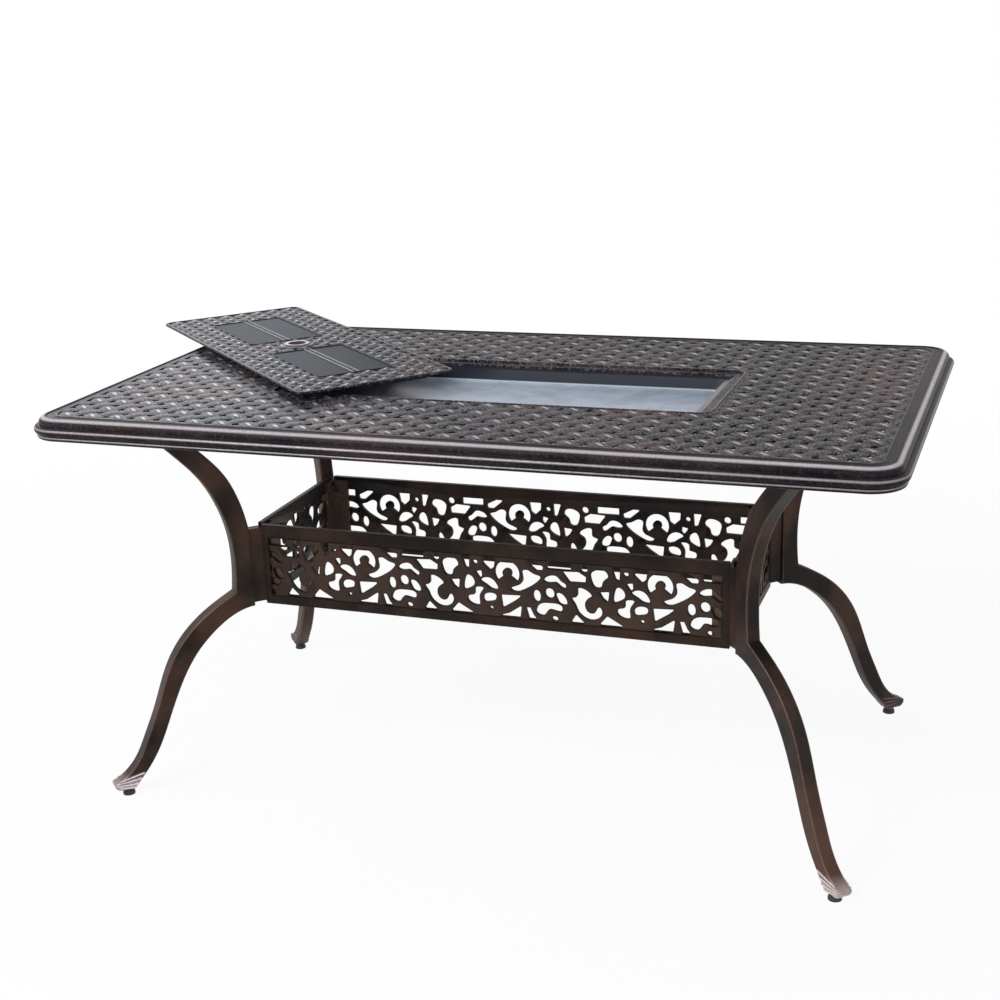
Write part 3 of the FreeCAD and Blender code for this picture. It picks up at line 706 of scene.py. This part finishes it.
def edgeSection():
    drop = table["top"] - table["edgeBottom"]
    inner, flush = rim["bandInner"], rim["bandDrop"]
    outside, upperRadius = rim["upperInset"], rim["upperRadius"]
    upper = outside + upperRadius
    middle, middleDrop = rim["middleRadius"], rim["middleDrop"]
    lowerTop = middleDrop + 2 * middle
    lowerRadius = (drop - lowerTop) / 2
    lower = rim["lowerInset"] + lowerRadius
    skirt, ease = rim["skirtInner"], rim["skirtEase"]
    points = [(inner - out, flush - rise, wornSheen) for out, rise, wornSheen in rim["fieldRidge"]]
    points += [(upper + inwards, flush + below, wornSheen) for inwards, below, wornSheen in rim["bandGroove"]]
    points += bead(rim["upper"], upper, upperRadius, upperRadius)
    points += [(outside + inwards, middleDrop - rise, 0.0) for inwards, rise in rim["beadStep"]]
    points += bead(rim["middle"], middle, middleDrop + middle, middle)
    points += [(lower, lowerTop, 0.0)]
    points += bead(rim["lower"], lower, lowerTop + lowerRadius, lowerRadius)
    points += [(skirt - ease, drop, 0.2), (skirt, drop - ease, 0.1)]
    points += [(skirt, table["plate"], 0.0), (inner, table["plate"], 0.0)]
    return points


def addEdge():
    section = [(-inset, table["top"] - drop, wornSheen) for inset, drop, wornSheen in edgeSection()]
    size = table["halfX"], table["halfY"], table["cornerRadius"]
    bm = bmesh.new()
    loftRings(bm, outlineRows(*size, section, rim["fieldRadius"]), rim["steps"])
    finishTop("top_edge", bm, "mould")


addEdge()


# The opening's frame: a ridge, a rebate for the lid and a ledge for the tray

opening = {
    "halfX": 403.0,
    "halfY": 158.0,
    "radius": 21.0,
    "frame": 11.0,
    # Ridge round the rebate: outwards from it, drop from the top, rub with painted highlight.
    "ridge": ((6.4, 1.5, 0.1), (5.2, 0.4, 0.3), (4.0, 0.0, 0.35), (2.0, 0.0, 0.55), (0.6, 0.5, 0.5),
              (0.0, 1.4, 0.2)),
    "lidDrop": 5.2,
    "ease": 0.8,
    "lidLedge": 17.0,
    "lidRadius": 4.0,
    "easeRadius": 5.0,
    "trayDrop": 13.0,
    "trayLedge": 27.0,
    "trayRadius": 14.0,
    "bottomDrop": 20.0,
    "wall": 9.0,
    "steps": 8,
}


def addOpening():
    # Each line of the section: outwards from the rebate, drop from the top, corner radius, rub with
    # painted highlight.
    radius, wide, ease = opening["radius"], opening["frame"], opening["ease"]
    lidOut, trayOut = -opening["lidLedge"], -opening["trayLedge"]
    lidDrop, trayDrop = opening["lidDrop"], opening["trayDrop"]
    bottom, wall, plate = opening["bottomDrop"], opening["wall"], table["plate"]
    section = [(wide, rim["bandDrop"], radius + wide, 0.15)]
    section += [(out, drop, radius + out, wornSheen) for out, drop, wornSheen in opening["ridge"]]
    section += [
        (0.0, lidDrop, radius, 0.0),
        (lidOut + ease, lidDrop, opening["easeRadius"], 0.1),
        (lidOut, lidDrop + ease, opening["lidRadius"], 0.3),
        (lidOut, trayDrop, opening["lidRadius"], 0.0),
        (trayOut + ease, trayDrop, opening["trayRadius"] + ease, 0.0),
        (trayOut, trayDrop + ease, opening["trayRadius"], 0.1),
        (trayOut, bottom, opening["trayRadius"], 0.0),
        (wall, bottom, radius + wall, 0.0),
        (wall, plate, radius + wall, 0.0),
        (wide, plate, radius + wide, 0.0),
    ]
    halfX, halfY = opening["halfX"], opening["halfY"]
    rows = []
    for out, drop, corner, wornSheen in section:
        rows.append((halfX + out, halfY + out, corner, table["top"] - drop, wornSheen))
    bm = bmesh.new()
    loftRings(bm, rows, opening["steps"])
    finishTop("opening_frame", bm, "top")


addOpening()
print("moulded edge and opening frame made")


# The woven field between them

field = {"drop": 1.4}


def addTopLattice():
    tuck = weave["tuck"]
    outX = table["halfX"] - rim["bandInner"] + tuck
    outY = table["halfY"] - rim["bandInner"] + tuck
    inX = opening["halfX"] + opening["frame"] - tuck
    inY = opening["halfY"] + opening["frame"] - tuck
    inRadius = opening["radius"] + opening["frame"]
    keep = keepRing((outX, outY, rim["fieldRadius"]), (inX, inY, inRadius))
    area = {"halfX": outX, "halfY": outY, "hollowX": inX, "hollowY": inY}
    bm = trimmed(growLattice("top lattice", area, 1.0), [("INTERSECT", keep)])
    lift = Matrix.Translation((0, 0, table["top"] - field["drop"]))
    finishTop("top_lattice", bm, "top", weave["sharp"], lift)


addTopLattice()
print("top lattice made")


# Ribs and pads under the top

ribs = {"width": 6.0, "drop": 22.0, "longY": 291.0, "crossX": 581.7, "sideX": 232.7}
pads = {
    "length": 84.0,
    "width": 92.0,
    "drop": 18.0,
    "radius": 10.0,
    "ease": 1.0,
    "steps": 4,
    "reach": 189.0,
    "boxX": 453.0,
    "boxY": 166.0,
}


def cornerTurns():
    # The four corners of the table as signs and as the leg's direction.
    for sx in (-1, 1):
        for sy in (-1, 1):
            yield sx, sy, math.atan2(sy, sx)


def addUnderframe():
    bm = bmesh.new()
    under = table["top"] - table["plate"]
    height = ribs["drop"] - table["plate"]
    level = under - height / 2
    wide = ribs["width"]
    openX, openY = opening["halfX"], opening["halfY"]
    reachX, reachY = table["halfX"] - rim["skirtInner"], table["halfY"] - rim["skirtInner"]
    for side in (-1, 1):
        block(bm, (0, side * ribs["longY"], level), (2 * reachX, wide, height))
        block(bm, (side * ribs["crossX"], 0, level), (wide, 2 * reachY, height))
        block(bm, (side * (openX + reachX) / 2, 0, level), (reachX - openX, wide, height))
        for across in (-ribs["sideX"], ribs["sideX"]):
            middle = (across, side * (openY + reachY) / 2, level)
            block(bm, middle, (wide, reachY - openY, height))
    half, across, radius = pads["length"] / 2, pads["width"] / 2, pads["radius"]
    drop, ease = pads["drop"], pads["ease"]
    rows = [
        (half - ease, across - ease, radius, -drop, 0.2),
        (half, across, radius, ease - drop, 0.2),
        (half, across, radius, 0, 0),
    ]
    shift = pads["reach"] / root2
    x, y = pads["boxX"] + shift, pads["boxY"] + shift
    for sx, sy, turn in cornerTurns():
        place = Matrix.Translation((sx * x, sy * y, under)) @ Matrix.Rotation(turn, 4, "Z")
        made = loftRings(bm, rows, pads["steps"], closed=False)
        bmesh.ops.transform(bm, matrix=place, verts=made)
    finishTop("top_ribs", bm, "frame")


addUnderframe()
print("ribs and pads made")


# Lid: edge band, skirt, lattice, two windows of strips and a hub round the ring

lid = {
    "halfX": 400.0,
    "halfY": 155.0,
    "radius": 18.0,
    "innerRadius": 6.0,
    "steps": 8,
    "low": 12.0,
    "thick": 5.0,
    "band": 6.0,
    "place": (-502.0, 156.0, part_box("lid_plate")[0].z / mm),
    "turn": -42.6,
    # Section of the plate's edge: outwards, drop from the top face or rise over the underside, rub
    # with painted highlight.
    "upperEdge": ((-6.0, 0.35, 0.1), (-3.4, 0.35, 0.1), (-2.6, 0.0, 0.4), (-1.4, 0.0, 0.5),
                  (-0.5, 0.5, 0.4), (0.0, 1.4, 0.2)),
    "lowerEdge": ((0.0, 1.0, 0.1), (-0.8, 0.0, 0.1), (-6.0, 0.0, 0.0)),
    "hubEdge": ((0.0, 0.7, 0.2), (-1.2, 0.1, 0.7), (-4.0, 0.0, 0.4)),
    "skirtInset": 34.0,
    "skirtWall": 4.0,
    "skirtRadius": 14.0,
    "skirtEase": 0.6,
    "skirtTuck": 0.5,
    "skirtSteps": 6,
    "hub": 34.0,
    "hubSteps": 12,
    "hole": 21.0,
    "latticeDrop": 1.35,
    "latticeRoom": 0.2,
    "scaleShare": 0.72,
}
window = {
    "halfX": 122.0,
    "halfY": 72.0,
    "middle": 178.0,
    "radius": 8.0,
    "border": 5.0,
    "borderEase": 1.2,
    "cornerEase": 1.0,
    "steps": 5,
    "borderDrop": 0.7,
    "sink": 0.2,
    "barSink": 0.1,
    "stripDrop": 1.5,
    "barHalf": 10.0,
    "barDrop": 1.0,
    "lap": 2.0,
    "ridgeShare": 0.55,
    "ridgeWidth": 3.0,
    "ridgeHeight": 1.6,
    "ridgeDrop": 0.9,
    "ridgeEdge": 0.5,
}
lidTop = lid["low"] + lid["thick"]


def finishLid(name, bm, finish, sharp=35, lift=0.0):
    place = Matrix.Translation(lid["place"]) @ Matrix.Rotation(lid["turn"] * deg, 4, "Z")
    place = place @ Matrix.Translation((0, 0, lift))
    finishPiece(name, bm, finish, "lid", ["lid_plate"], sharp, place)


def addLidFrame():
    bm = bmesh.new()
    low, halfX, halfY = lid["low"], lid["halfX"], lid["halfY"]
    section = [(out, lidTop - drop, wornSheen) for out, drop, wornSheen in lid["upperEdge"]]
    section += [(out, low + rise, wornSheen) for out, rise, wornSheen in lid["lowerEdge"]]
    rows = outlineRows(halfX, halfY, lid["radius"], section, lid["innerRadius"])
    loftRings(bm, rows, lid["steps"])
    inset, wall, ease = lid["skirtInset"], lid["skirtWall"], lid["skirtEase"]
    roof = low + lid["skirtTuck"]
    section = [
        (0.0, roof, 0.0), (0.0, ease, 0.2), (-ease, 0.0, 0.4),
        (ease - wall, 0.0, 0.4), (-wall, ease, 0.2), (-wall, roof, 0.0),
    ]
    rows = outlineRows(halfX - inset, halfY - inset, lid["skirtRadius"], section)
    loftRings(bm, rows, lid["skirtSteps"])
    finishLid("lid_frame", bm, "top")


def lidWindow(bm, side):
    # Border, smooth strips and the pair of thin ridges between them.
    x, y, radius = window["halfX"], window["halfY"], window["radius"]
    border, ease = window["border"], window["borderEase"]
    base, shoulder = lid["low"] + window["sink"], lidTop - window["borderDrop"]
    made = loftRings(bm, [
        (x + border, y + border, radius + border, base, 0),
        (x + border, y + border, radius + border, shoulder, 0.2),
        (x + border - ease, y + border - ease, radius + border, lidTop, 0.3),
        (x + ease, y + ease, radius + window["cornerEase"], lidTop, 0.4),
        (x, y, radius, shoulder, 0.2),
        (x, y, radius, base, 0),
    ], window["steps"])
    bar, lap = window["barHalf"], window["lap"]
    stripTop = lidTop - window["stripDrop"]
    for row in (-1, 1):
        middle = (0, row * (y + bar) / 2, (base + stripTop) / 2)
        made += block(bm, middle, (2 * x + lap, y - bar + lap, stripTop - base), 0.25)
    low, high = lid["low"] + window["barSink"], lidTop - window["barDrop"]
    made += block(bm, (0, 0, (low + high) / 2), (2 * x + lap, 2 * bar, high - low), 0.1)
    # The thin ridges are rubbed brightest, with a painted highlight along them.
    size = (2 * x + lap / 2, window["ridgeWidth"], window["ridgeHeight"])
    for row in (-1, 1):
        middle = (0, row * bar * window["ridgeShare"], lidTop - window["ridgeDrop"])
        made += block(bm, middle, size, 0.8, window["ridgeEdge"])
    shift = Matrix.Translation((side * window["middle"], 0, 0))
    bmesh.ops.transform(bm, matrix=shift, verts=made)


def addLidWindows():
    bm = bmesh.new()
    for side in (-1, 1):
        lidWindow(bm, side)
    finishLid("lid_windows", bm, "strip")


def addLidHub():
    bm = bmesh.new()
    hub, low, wall = lid["hub"], lid["low"], lid["hole"] - lid["hub"]
    section = [(0.0, low, 0.0)]
    section += [(out, lidTop - drop, wornSheen) for out, drop, wornSheen in lid["hubEdge"]]
    section += [(wall, lidTop, 0.1), (wall, low, 0.0)]
    loftRings(bm, outlineRows(hub, hub, hub, section), lid["hubSteps"])
    finishLid("lid_hub", bm, "top")


def windowCutter(side):
    wide, reach = window["border"] - weave["tuck"], weave["cutReach"]
    section = [(wide, -reach, 0), (wide, reach, 0)]
    bm = bmesh.new()
    rows = outlineRows(window["halfX"], window["halfY"], window["radius"], section)
    loftRings(bm, rows, window["steps"], closed=False)
    bm.transform(Matrix.Translation((side * window["middle"], 0, 0)))
    return solidObject("window", bm)


def addLidLattice():
    tuck, hub = weave["tuck"], lid["hub"]
    outX, outY = lid["halfX"] - lid["band"] + tuck, lid["halfY"] - lid["band"] + tuck
    keep = keepRing((outX, outY, lid["innerRadius"]), (hub - tuck, hub - tuck, hub - tuck))
    cutters = [("INTERSECT", keep)]
    cutters += [("DIFFERENCE", windowCutter(side)) for side in (-1, 1)]
    area = {"halfX": outX, "halfY": outY}
    bm = trimmed(growLattice("lid lattice", area, lid["scaleShare"]), cutters)
    # The plate is thinner than the weave, so the weave's flat underside is raised into it.
    thin = (lid["thick"] - lid["latticeDrop"] - lid["latticeRoom"]) / weave["thick"]
    for vertex in bm.verts:
        if vertex.co.z < 0.1 - weave["thick"]:
            vertex.co.z *= thin
    finishLid("lid_lattice", bm, "top", weave["sharp"], lidTop - lid["latticeDrop"])


strip = {
    "patches": (60.0, 4.0),
    "patchSpan": (0.3, 0.7),
    "grain": (700.0, 2.0),
    "fine": (200.0, 3.0),
    "rubSpan": (0.45, 0.85),
    "rubGrain": (0.4, 0.8),
    "rubShare": 0.8,
    "dark": (0.005, 0.008, 0.011),
    "light": (0.022, 0.028, 0.035),
    "rubSheen": (0.50, 0.45, 0.45),
    "rough": (0.42, 0.12),
    "ior": 1.12,
    "bumpDepth": 0.0002,
    "bumpStrength": 0.5,
}


def stripFinish():
    # Smooth slate strips of the lid's windows, duller than the rest, with rub and a painted
    # highlight on their ridges and edges.
    item, shader, start, place = newMaterial("slate strip")
    patches = noise(place, *strip["patches"])
    fine = varied(noise(place, *strip["fine"]), *strip["rubGrain"])
    wornSheen = (wearSheen(place).ramp(*strip["rubSpan"]) * fine * strip["rubShare"]).clamp()
    body = patches.ramp(*strip["patchSpan"]).mix(colour(strip["dark"]), colour(strip["light"]))
    grain = noise(place, *strip["grain"])
    setShader(start, shader, {
        "Base Color": wornSheen.mix(body, colour(strip["rubSheen"])),
        "Roughness": varied(patches, *strip["rough"]),
        "Normal": bump(grain, strip["bumpDepth"], strip["bumpStrength"]),
        "IOR": strip["ior"],
    })
    return item


finishes["strip"] = stripFinish()
addLidFrame()
addLidWindows()
addLidHub()
addLidLattice()
print("lid made")


# Aprons: the pierced field gets a raised, eased face. Lengths here are in metres, as in the frame.

apron = {"inset": 0.0016, "raise": 0.0009, "fieldDepth": 0.002, "rubSheen": 0.55, "sharp": 32}
aprons = {
    "apron_front": (0, -1, 0),
    "apron_right": (1, 0, 0),
    "apron_rear": (0, 1, 0),
    "apron_left": (-1, 0, 0),
}


def reliefPanel(node, outward):
    bm = bmesh.new()
    bm.from_mesh(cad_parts[node].data)
    bmesh.ops.remove_doubles(bm, verts=bm.verts, dist=1e-6)
    rubSheen = bm.verts.layers.float.new("rubSheen")
    level = max(vertex.co.dot(outward) for vertex in bm.verts) - apron["fieldDepth"]
    faces = []
    for face in bm.faces:
        away = face.calc_center_median().dot(outward) - level
        if face.normal.dot(outward) > 0.99 and abs(away) < 1e-4:
            faces.append(face)
    bmesh.ops.inset_region(
        bm, faces=faces, thickness=apron["inset"], depth=apron["raise"],
        use_boundary=True, use_even_offset=True,
    )
    for face in faces:
        for vertex in face.verts:
            vertex[rubSheen] = apron["rubSheen"]
    print(node, "relief faces", len(faces))
    finishPiece(
        node + "_casting", bm, "frame", "table", [node], apron["sharp"], unit=1.0
    )


for node, outward in aprons.items():
    reliefPanel(node, Vector(outward))


# Toes: tapering flutes that fan out from the tip over both cheeks of each foot

flutes = {
    "cheek": 13.5,
    "radius": 2.1,
    "tipShare": 0.45,
    "taperFrom": 0.4,
    "sides": 8,
    "steps": 10,
    # Rub with a painted highlight on the front toes; painted shade keeps the rear toes' flutes dim.
    "frontRub": 0.9,
    "rearRub": 0.25,
    "sharp": 50,
    # Each flute's points: outwards from the aprons' corner, height.
    "paths": (
        ((275.5, 15.6), (293.0, 15.8), (308.5, 22.5)),
        ((268.5, 22.0), (289.0, 21.4), (309.8, 25.2)),
        ((262.5, 31.0), (284.5, 28.6), (309.0, 28.0)),
        ((256.5, 40.5), (279.0, 36.8), (303.0, 31.5)),
    ),
}


def flutePaths():
    data = bpy.data.curves.new("flutes", "CURVE")
    data.dimensions = "3D"
    data.resolution_u = flutes["steps"]
    for sx, sy, turn in cornerTurns():
        for cheek in (-flutes["cheek"], flutes["cheek"]):
            for path in flutes["paths"]:
                spline = data.splines.new("NURBS")
                spline.points.add(len(path) - 1)
                for point, (reach, height) in zip(spline.points, path):
                    x = sx * pads["boxX"] + reach * math.cos(turn) - cheek * math.sin(turn)
                    y = sy * pads["boxY"] + reach * math.sin(turn) + cheek * math.cos(turn)
                    point.co = (x, y, height, 1)
                spline.order_u = 3
                spline.use_endpoint_u = True
    return addObject("flutes", data)


def addFlutes():
    grower = Grower("toe flutes", {
        "Radius": flutes["radius"],
        "Taper From": flutes["taperFrom"],
        "Tip Share": flutes["tipShare"],
        "Sides": flutes["sides"],
        "Finish": finishes["toe"],
    })
    start = grower.wire
    taper = start.node("ShaderNodeMapRange", inputs={
        "Value": start.node("GeometryNodeSplineParameter"),
        "From Min": grower["Taper From"],
        "From Max": 1.0,
        "To Min": 1.0,
        "To Max": grower["Tip Share"],
    })
    shaped = start.node("GeometryNodeSetCurveRadius", inputs={"Curve": start, "Radius": taper})
    ring = start.node(
        "GeometryNodeCurvePrimitiveCircle",
        inputs={"Radius": grower["Radius"], "Resolution": grower["Sides"]},
    )
    solid = start.node(
        "GeometryNodeCurveToMesh",
        inputs={"Curve": shaped, "Profile Curve": ring, "Fill Caps": True, "Scale": taper},
    )
    grower.end(solid)
    paths = flutePaths()
    mesh = grower.grow(paths)
    bpy.data.objects.remove(paths)
    bm = bmesh.new()
    bm.from_mesh(mesh)
    rubSheen = bm.verts.layers.float.new("rubSheen")
    # Painted shade: the flutes of the rear toes get much less rub and highlight.
    for vertex in bm.verts:
        vertex[rubSheen] = flutes["frontRub"] if vertex.co.y < 0 else flutes["rearRub"]
    finishPiece("toe_flutes", bm, "toe", "table", sharp=flutes["sharp"])


addFlutes()
print("aprons and toes made")


# Finishes of the pieces that keep their CAD mesh. Heights and depths in them are in metres.

leg = {
    "base": (0.060, 0.030, 0.020),
    "warmTone": (0.105, 0.050, 0.032),
    "edge": (0.22, 0.145, 0.12),
    "warm": (4.3, 2.0),
    "warmSpan": (0.45, 0.7),
    "edgeIn": (0.15, 0.4),
    "edgeOut": (0.8, 0.97),
    "edgeGrain": (0.1, 0.9),
    "edgeShare": 0.6,
    "toeSpan": (0.014, 0.046),
    "toeGrain": (0.35, 0.8),
    "toeShare": 0.85,
    # Painted shade that dims the rubbed toes of the rear legs.
    "backSpan": (-0.1, 0.1),
    "backLoss": 0.95,
    "metal": 0.25,
    "rough": (0.40, 0.12),
    "bumpDepth": 0.0003,
}


def legEdge(start, place):
    # 1 on the rounded arrises between a leg's cheeks and its edge faces, by the way they point.
    facing = start.node("ShaderNodeTexCoord", output=1)
    x, y = (start.math("SIGN", place.axis(key)) * facing.axis(key) for key in (0, 1))
    across = start.math("ABSOLUTE", (y - x) / root2)
    return across.ramp(*leg["edgeIn"]) * (1.0 - across.ramp(*leg["edgeOut"]))


def legFinish():
    # The frame's bronze, rubbed bright with a painted highlight on the front toes, with painted
    # shade keeping the rear toes dark, and a little rub and painted highlight along the arrises.
    item, shader, start, place = newMaterial("leg bronze")
    tones = bronze["frame"]
    patches = noise(place, *coat["patches"])
    fine = noise(place, *coat["fine"])
    warm = noise(place, *leg["warm"]).ramp(*leg["warmSpan"]) * coat["warmShare"]
    # Rub with a painted highlight along the arrises.
    wornSheen = (legEdge(start, place) * varied(fine, *leg["edgeGrain"]) * leg["edgeShare"]).clamp()
    # Painted shade: the rubbed toes fade out towards the rear legs.
    front = 1.0 - place.axis(1).ramp(*leg["backSpan"]) * leg["backLoss"]
    low = 1.0 - place.axis(2).ramp(*leg["toeSpan"])
    toe = (low * varied(fine, *leg["toeGrain"]) * front * leg["toeShare"]).clamp()
    body = patches.ramp(*coat["patchSpan"]).mix(colour(tones["dark"]), colour(leg["base"]))
    body = warm.mix(body, colour(leg["warmTone"]))
    body = wornSheen.mix(body, colour(leg["edge"]))
    relief = (noise(place, *coat["grain"]) + fine) * 0.5
    setShader(start, shader, {
        "Base Color": toe.mix(body, colour(bronze["toe"]["rubSheen"])),
        "Metallic": leg["metal"],
        "Roughness": varied(patches, *leg["rough"]),
        "Normal": bump(relief, leg["bumpDepth"], coat["bumpStrength"]),
        "IOR": tones["ior"],
    })
    return item


tray = {
    "floorTop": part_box("fire_tray")[0].z / mm + 1.4,
    # Rise over the floor, in millimetres, between which each tone comes in.
    "wallSpan": (1.5, 4.0),
    "footSpan": (0.2, 0.8),
    "footShare": 0.7,
    "patches": (22.0, 4.0),
    "patchSpan": (0.3, 0.7),
    "grain": (300.0, 3.0),
    # The floor's two tones are a painted reflection of a pale sky.
    "floorDark": (0.200, 0.245, 0.320),
    "floorLight": (0.290, 0.350, 0.440),
    "wall": (0.014, 0.018, 0.030),
    # Painted highlight along the line where the walls meet the floor.
    "foot": (0.60, 0.66, 0.74),
    "rough": (0.15, 0.12),
    "bumpDepth": 0.0002,
    "bumpStrength": 0.5,
}


def enamelFinish():
    # Blue-black enamel on the walls. The paler floor is a painted reflection, and the pale line
    # where the walls meet the floor is a painted highlight.
    item, shader, start, place = newMaterial("tray enamel")
    height = place.axis(2)
    wall, foot = (
        height.ramp(*[(tray["floorTop"] + rise) * mm for rise in tray[span]])
        for span in ("wallSpan", "footSpan")
    )
    patches = noise(place, *tray["patches"]).ramp(*tray["patchSpan"])
    grain = noise(place, *tray["grain"])
    body = patches.mix(colour(tray["floorDark"]), colour(tray["floorLight"]))
    body = wall.mix(body, colour(tray["wall"]))
    # line: the painted highlight at the foot of the walls.
    line = foot * (1.0 - wall) * tray["footShare"]
    setShader(start, shader, {
        "Base Color": line.mix(body, colour(tray["foot"])),
        "Roughness": varied(grain, *tray["rough"]),
        "Normal": bump(grain, tray["bumpDepth"], tray["bumpStrength"]),
    })
    return item


plain = {"patches": (22.0, 4.0), "patchSpan": (0.3, 0.7), "roughGain": 0.12, "bumpStrength": 0.6}
plainTones = {
    "ring": {
        "name": "rubbed ring", "dark": (0.10, 0.08, 0.08), "light": (0.24, 0.20, 0.20),
        "metal": 0.6, "rough": 0.30, "grain": 500.0, "bumpDepth": 0.0002,
    },
    "zinc": {
        "name": "dark zinc", "dark": (0.10, 0.10, 0.10), "light": (0.20, 0.19, 0.18),
        "metal": 0.9, "rough": 0.36, "grain": 1200.0, "bumpDepth": 0.0001,
    },
    "brass": {
        "name": "brass", "dark": (0.42, 0.30, 0.12), "light": (0.60, 0.44, 0.20),
        "metal": 1.0, "rough": 0.30, "grain": 1500.0, "bumpDepth": 0.0001,
    },
    "glide": {
        "name": "black glide", "dark": (0.008, 0.008, 0.008), "light": (0.018, 0.018, 0.018),
        "metal": 0.0, "rough": 0.48, "grain": 800.0, "bumpDepth": 0.0002,
    },
}


def plainFinish(tones):
    item, shader, start, place = newMaterial(tones["name"])
    patches = noise(place, *plain["patches"]).ramp(*plain["patchSpan"])
    grain = noise(place, tones["grain"])
    setShader(start, shader, {
        "Base Color": patches.mix(colour(tones["dark"]), colour(tones["light"])),
        "Metallic": tones["metal"],
        "Roughness": varied(grain, tones["rough"], plain["roughGain"]),
        "Normal": bump(grain, tones["bumpDepth"], plain["bumpStrength"]),
    })
    return item


finishes["leg"] = legFinish()
finishes["enamel"] = enamelFinish()
for key, tones in plainTones.items():
    finishes[key] = plainFinish(tones)
nodeFinishes = {
    "fire_tray": "enamel",
    "lid_ring": "ring",
    "foot_bushes": "brass",
    "leg_bolts": "zinc",
    "leg_washers": "zinc",
    "apron_bolts": "zinc",
    "apron_washers": "zinc",
}
for corner in ("front_left", "front_right", "rear_left", "rear_right"):
    nodeFinishes["leg_" + corner] = "leg"
    nodeFinishes["foot_pad_" + corner] = "glide"
    nodeFinishes["foot_stem_" + corner] = "zinc"
for node, finish in nodeFinishes.items():
    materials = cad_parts[node].data.materials
    materials.clear()
    materials.append(finishes[finish])
print("CAD nodes dressed")


# Floor and world, in metres

studio = {
    "floorHalf": 14.0,
    "floorNoise": (1.4, 2.0),
    "floorSpan": (0.3, 0.7),
    "floorDark": (0.84, 0.84, 0.84),
    "floorLight": (0.88, 0.88, 0.88),
    "floorRough": 0.9,
    "whiteNear": 0.92,  # share of plain white in what the camera sees of the floor close by
    "fade": (1.2, 3.2),  # distance over which that share rises to 1
    "worldStrength": 0.5,
    "worldColour": (0.93, 0.95, 1.0),
    "white": (1, 1, 1),
    "seenRays": (0, 3, 6),  # Light Path's outputs for camera, glossy and transmission rays
}


def seenShare(start):
    # 1 for what the camera sees, straight or in a gloss or glass, and 0 for the light on the table.
    total = sum(start.node("ShaderNodeLightPath", output=key) for key in studio["seenRays"])
    return total.clamp()


def addFloor():
    bm = bmesh.new()
    bmesh.ops.create_grid(bm, x_segments=1, y_segments=1, size=studio["floorHalf"])
    item = addObject("floor", plainMesh("floor", bm))
    finish, shader, start, place = newMaterial("pale floor")
    soft = noise(place, *studio["floorNoise"]).ramp(*studio["floorSpan"])
    setShader(start, shader, {
        "Base Color": soft.mix(colour(studio["floorDark"]), colour(studio["floorLight"])),
        "Roughness": studio["floorRough"],
    })
    distance = start.node("ShaderNodeVectorMath", {"operation": "LENGTH"}, {0: place}, output=1)
    near = studio["whiteNear"]
    share = seenShare(start) * varied(distance.ramp(*studio["fade"]), near, 1 - near)
    white = colour(studio["white"])
    glow = start.node("ShaderNodeEmission", inputs={"Color": white, "Strength": 1.0})
    lit = Wire(finish.node_tree, shader.outputs[0])
    both = start.node("ShaderNodeMixShader", inputs={0: share, 1: lit, 2: glow})
    start.feed(finish.node_tree.nodes["Material Output"].inputs[0], both)
    item.data.materials.append(finish)


def addWorld():
    world = bpy.data.worlds.new("studio")
    world.use_nodes = True
    bpy.context.scene.world = world
    tree = world.node_tree
    tree.nodes.clear()
    start = Wire(tree, None)
    soft, white = (
        start.node("ShaderNodeBackground", inputs={"Color": colour(tone), "Strength": strength})
        for tone, strength in (
            (studio["worldColour"], studio["worldStrength"]),
            (studio["white"], 1.0),
        )
    )
    both = start.node("ShaderNodeMixShader", inputs={0: seenShare(start), 1: soft, 2: white})
    out = tree.nodes.new("ShaderNodeOutputWorld")
    tree.links.new(both.socket, out.inputs[0])


addFloor()
addWorld()
bpy.context.scene.view_settings.view_transform = "Standard"
print("floor and world made")
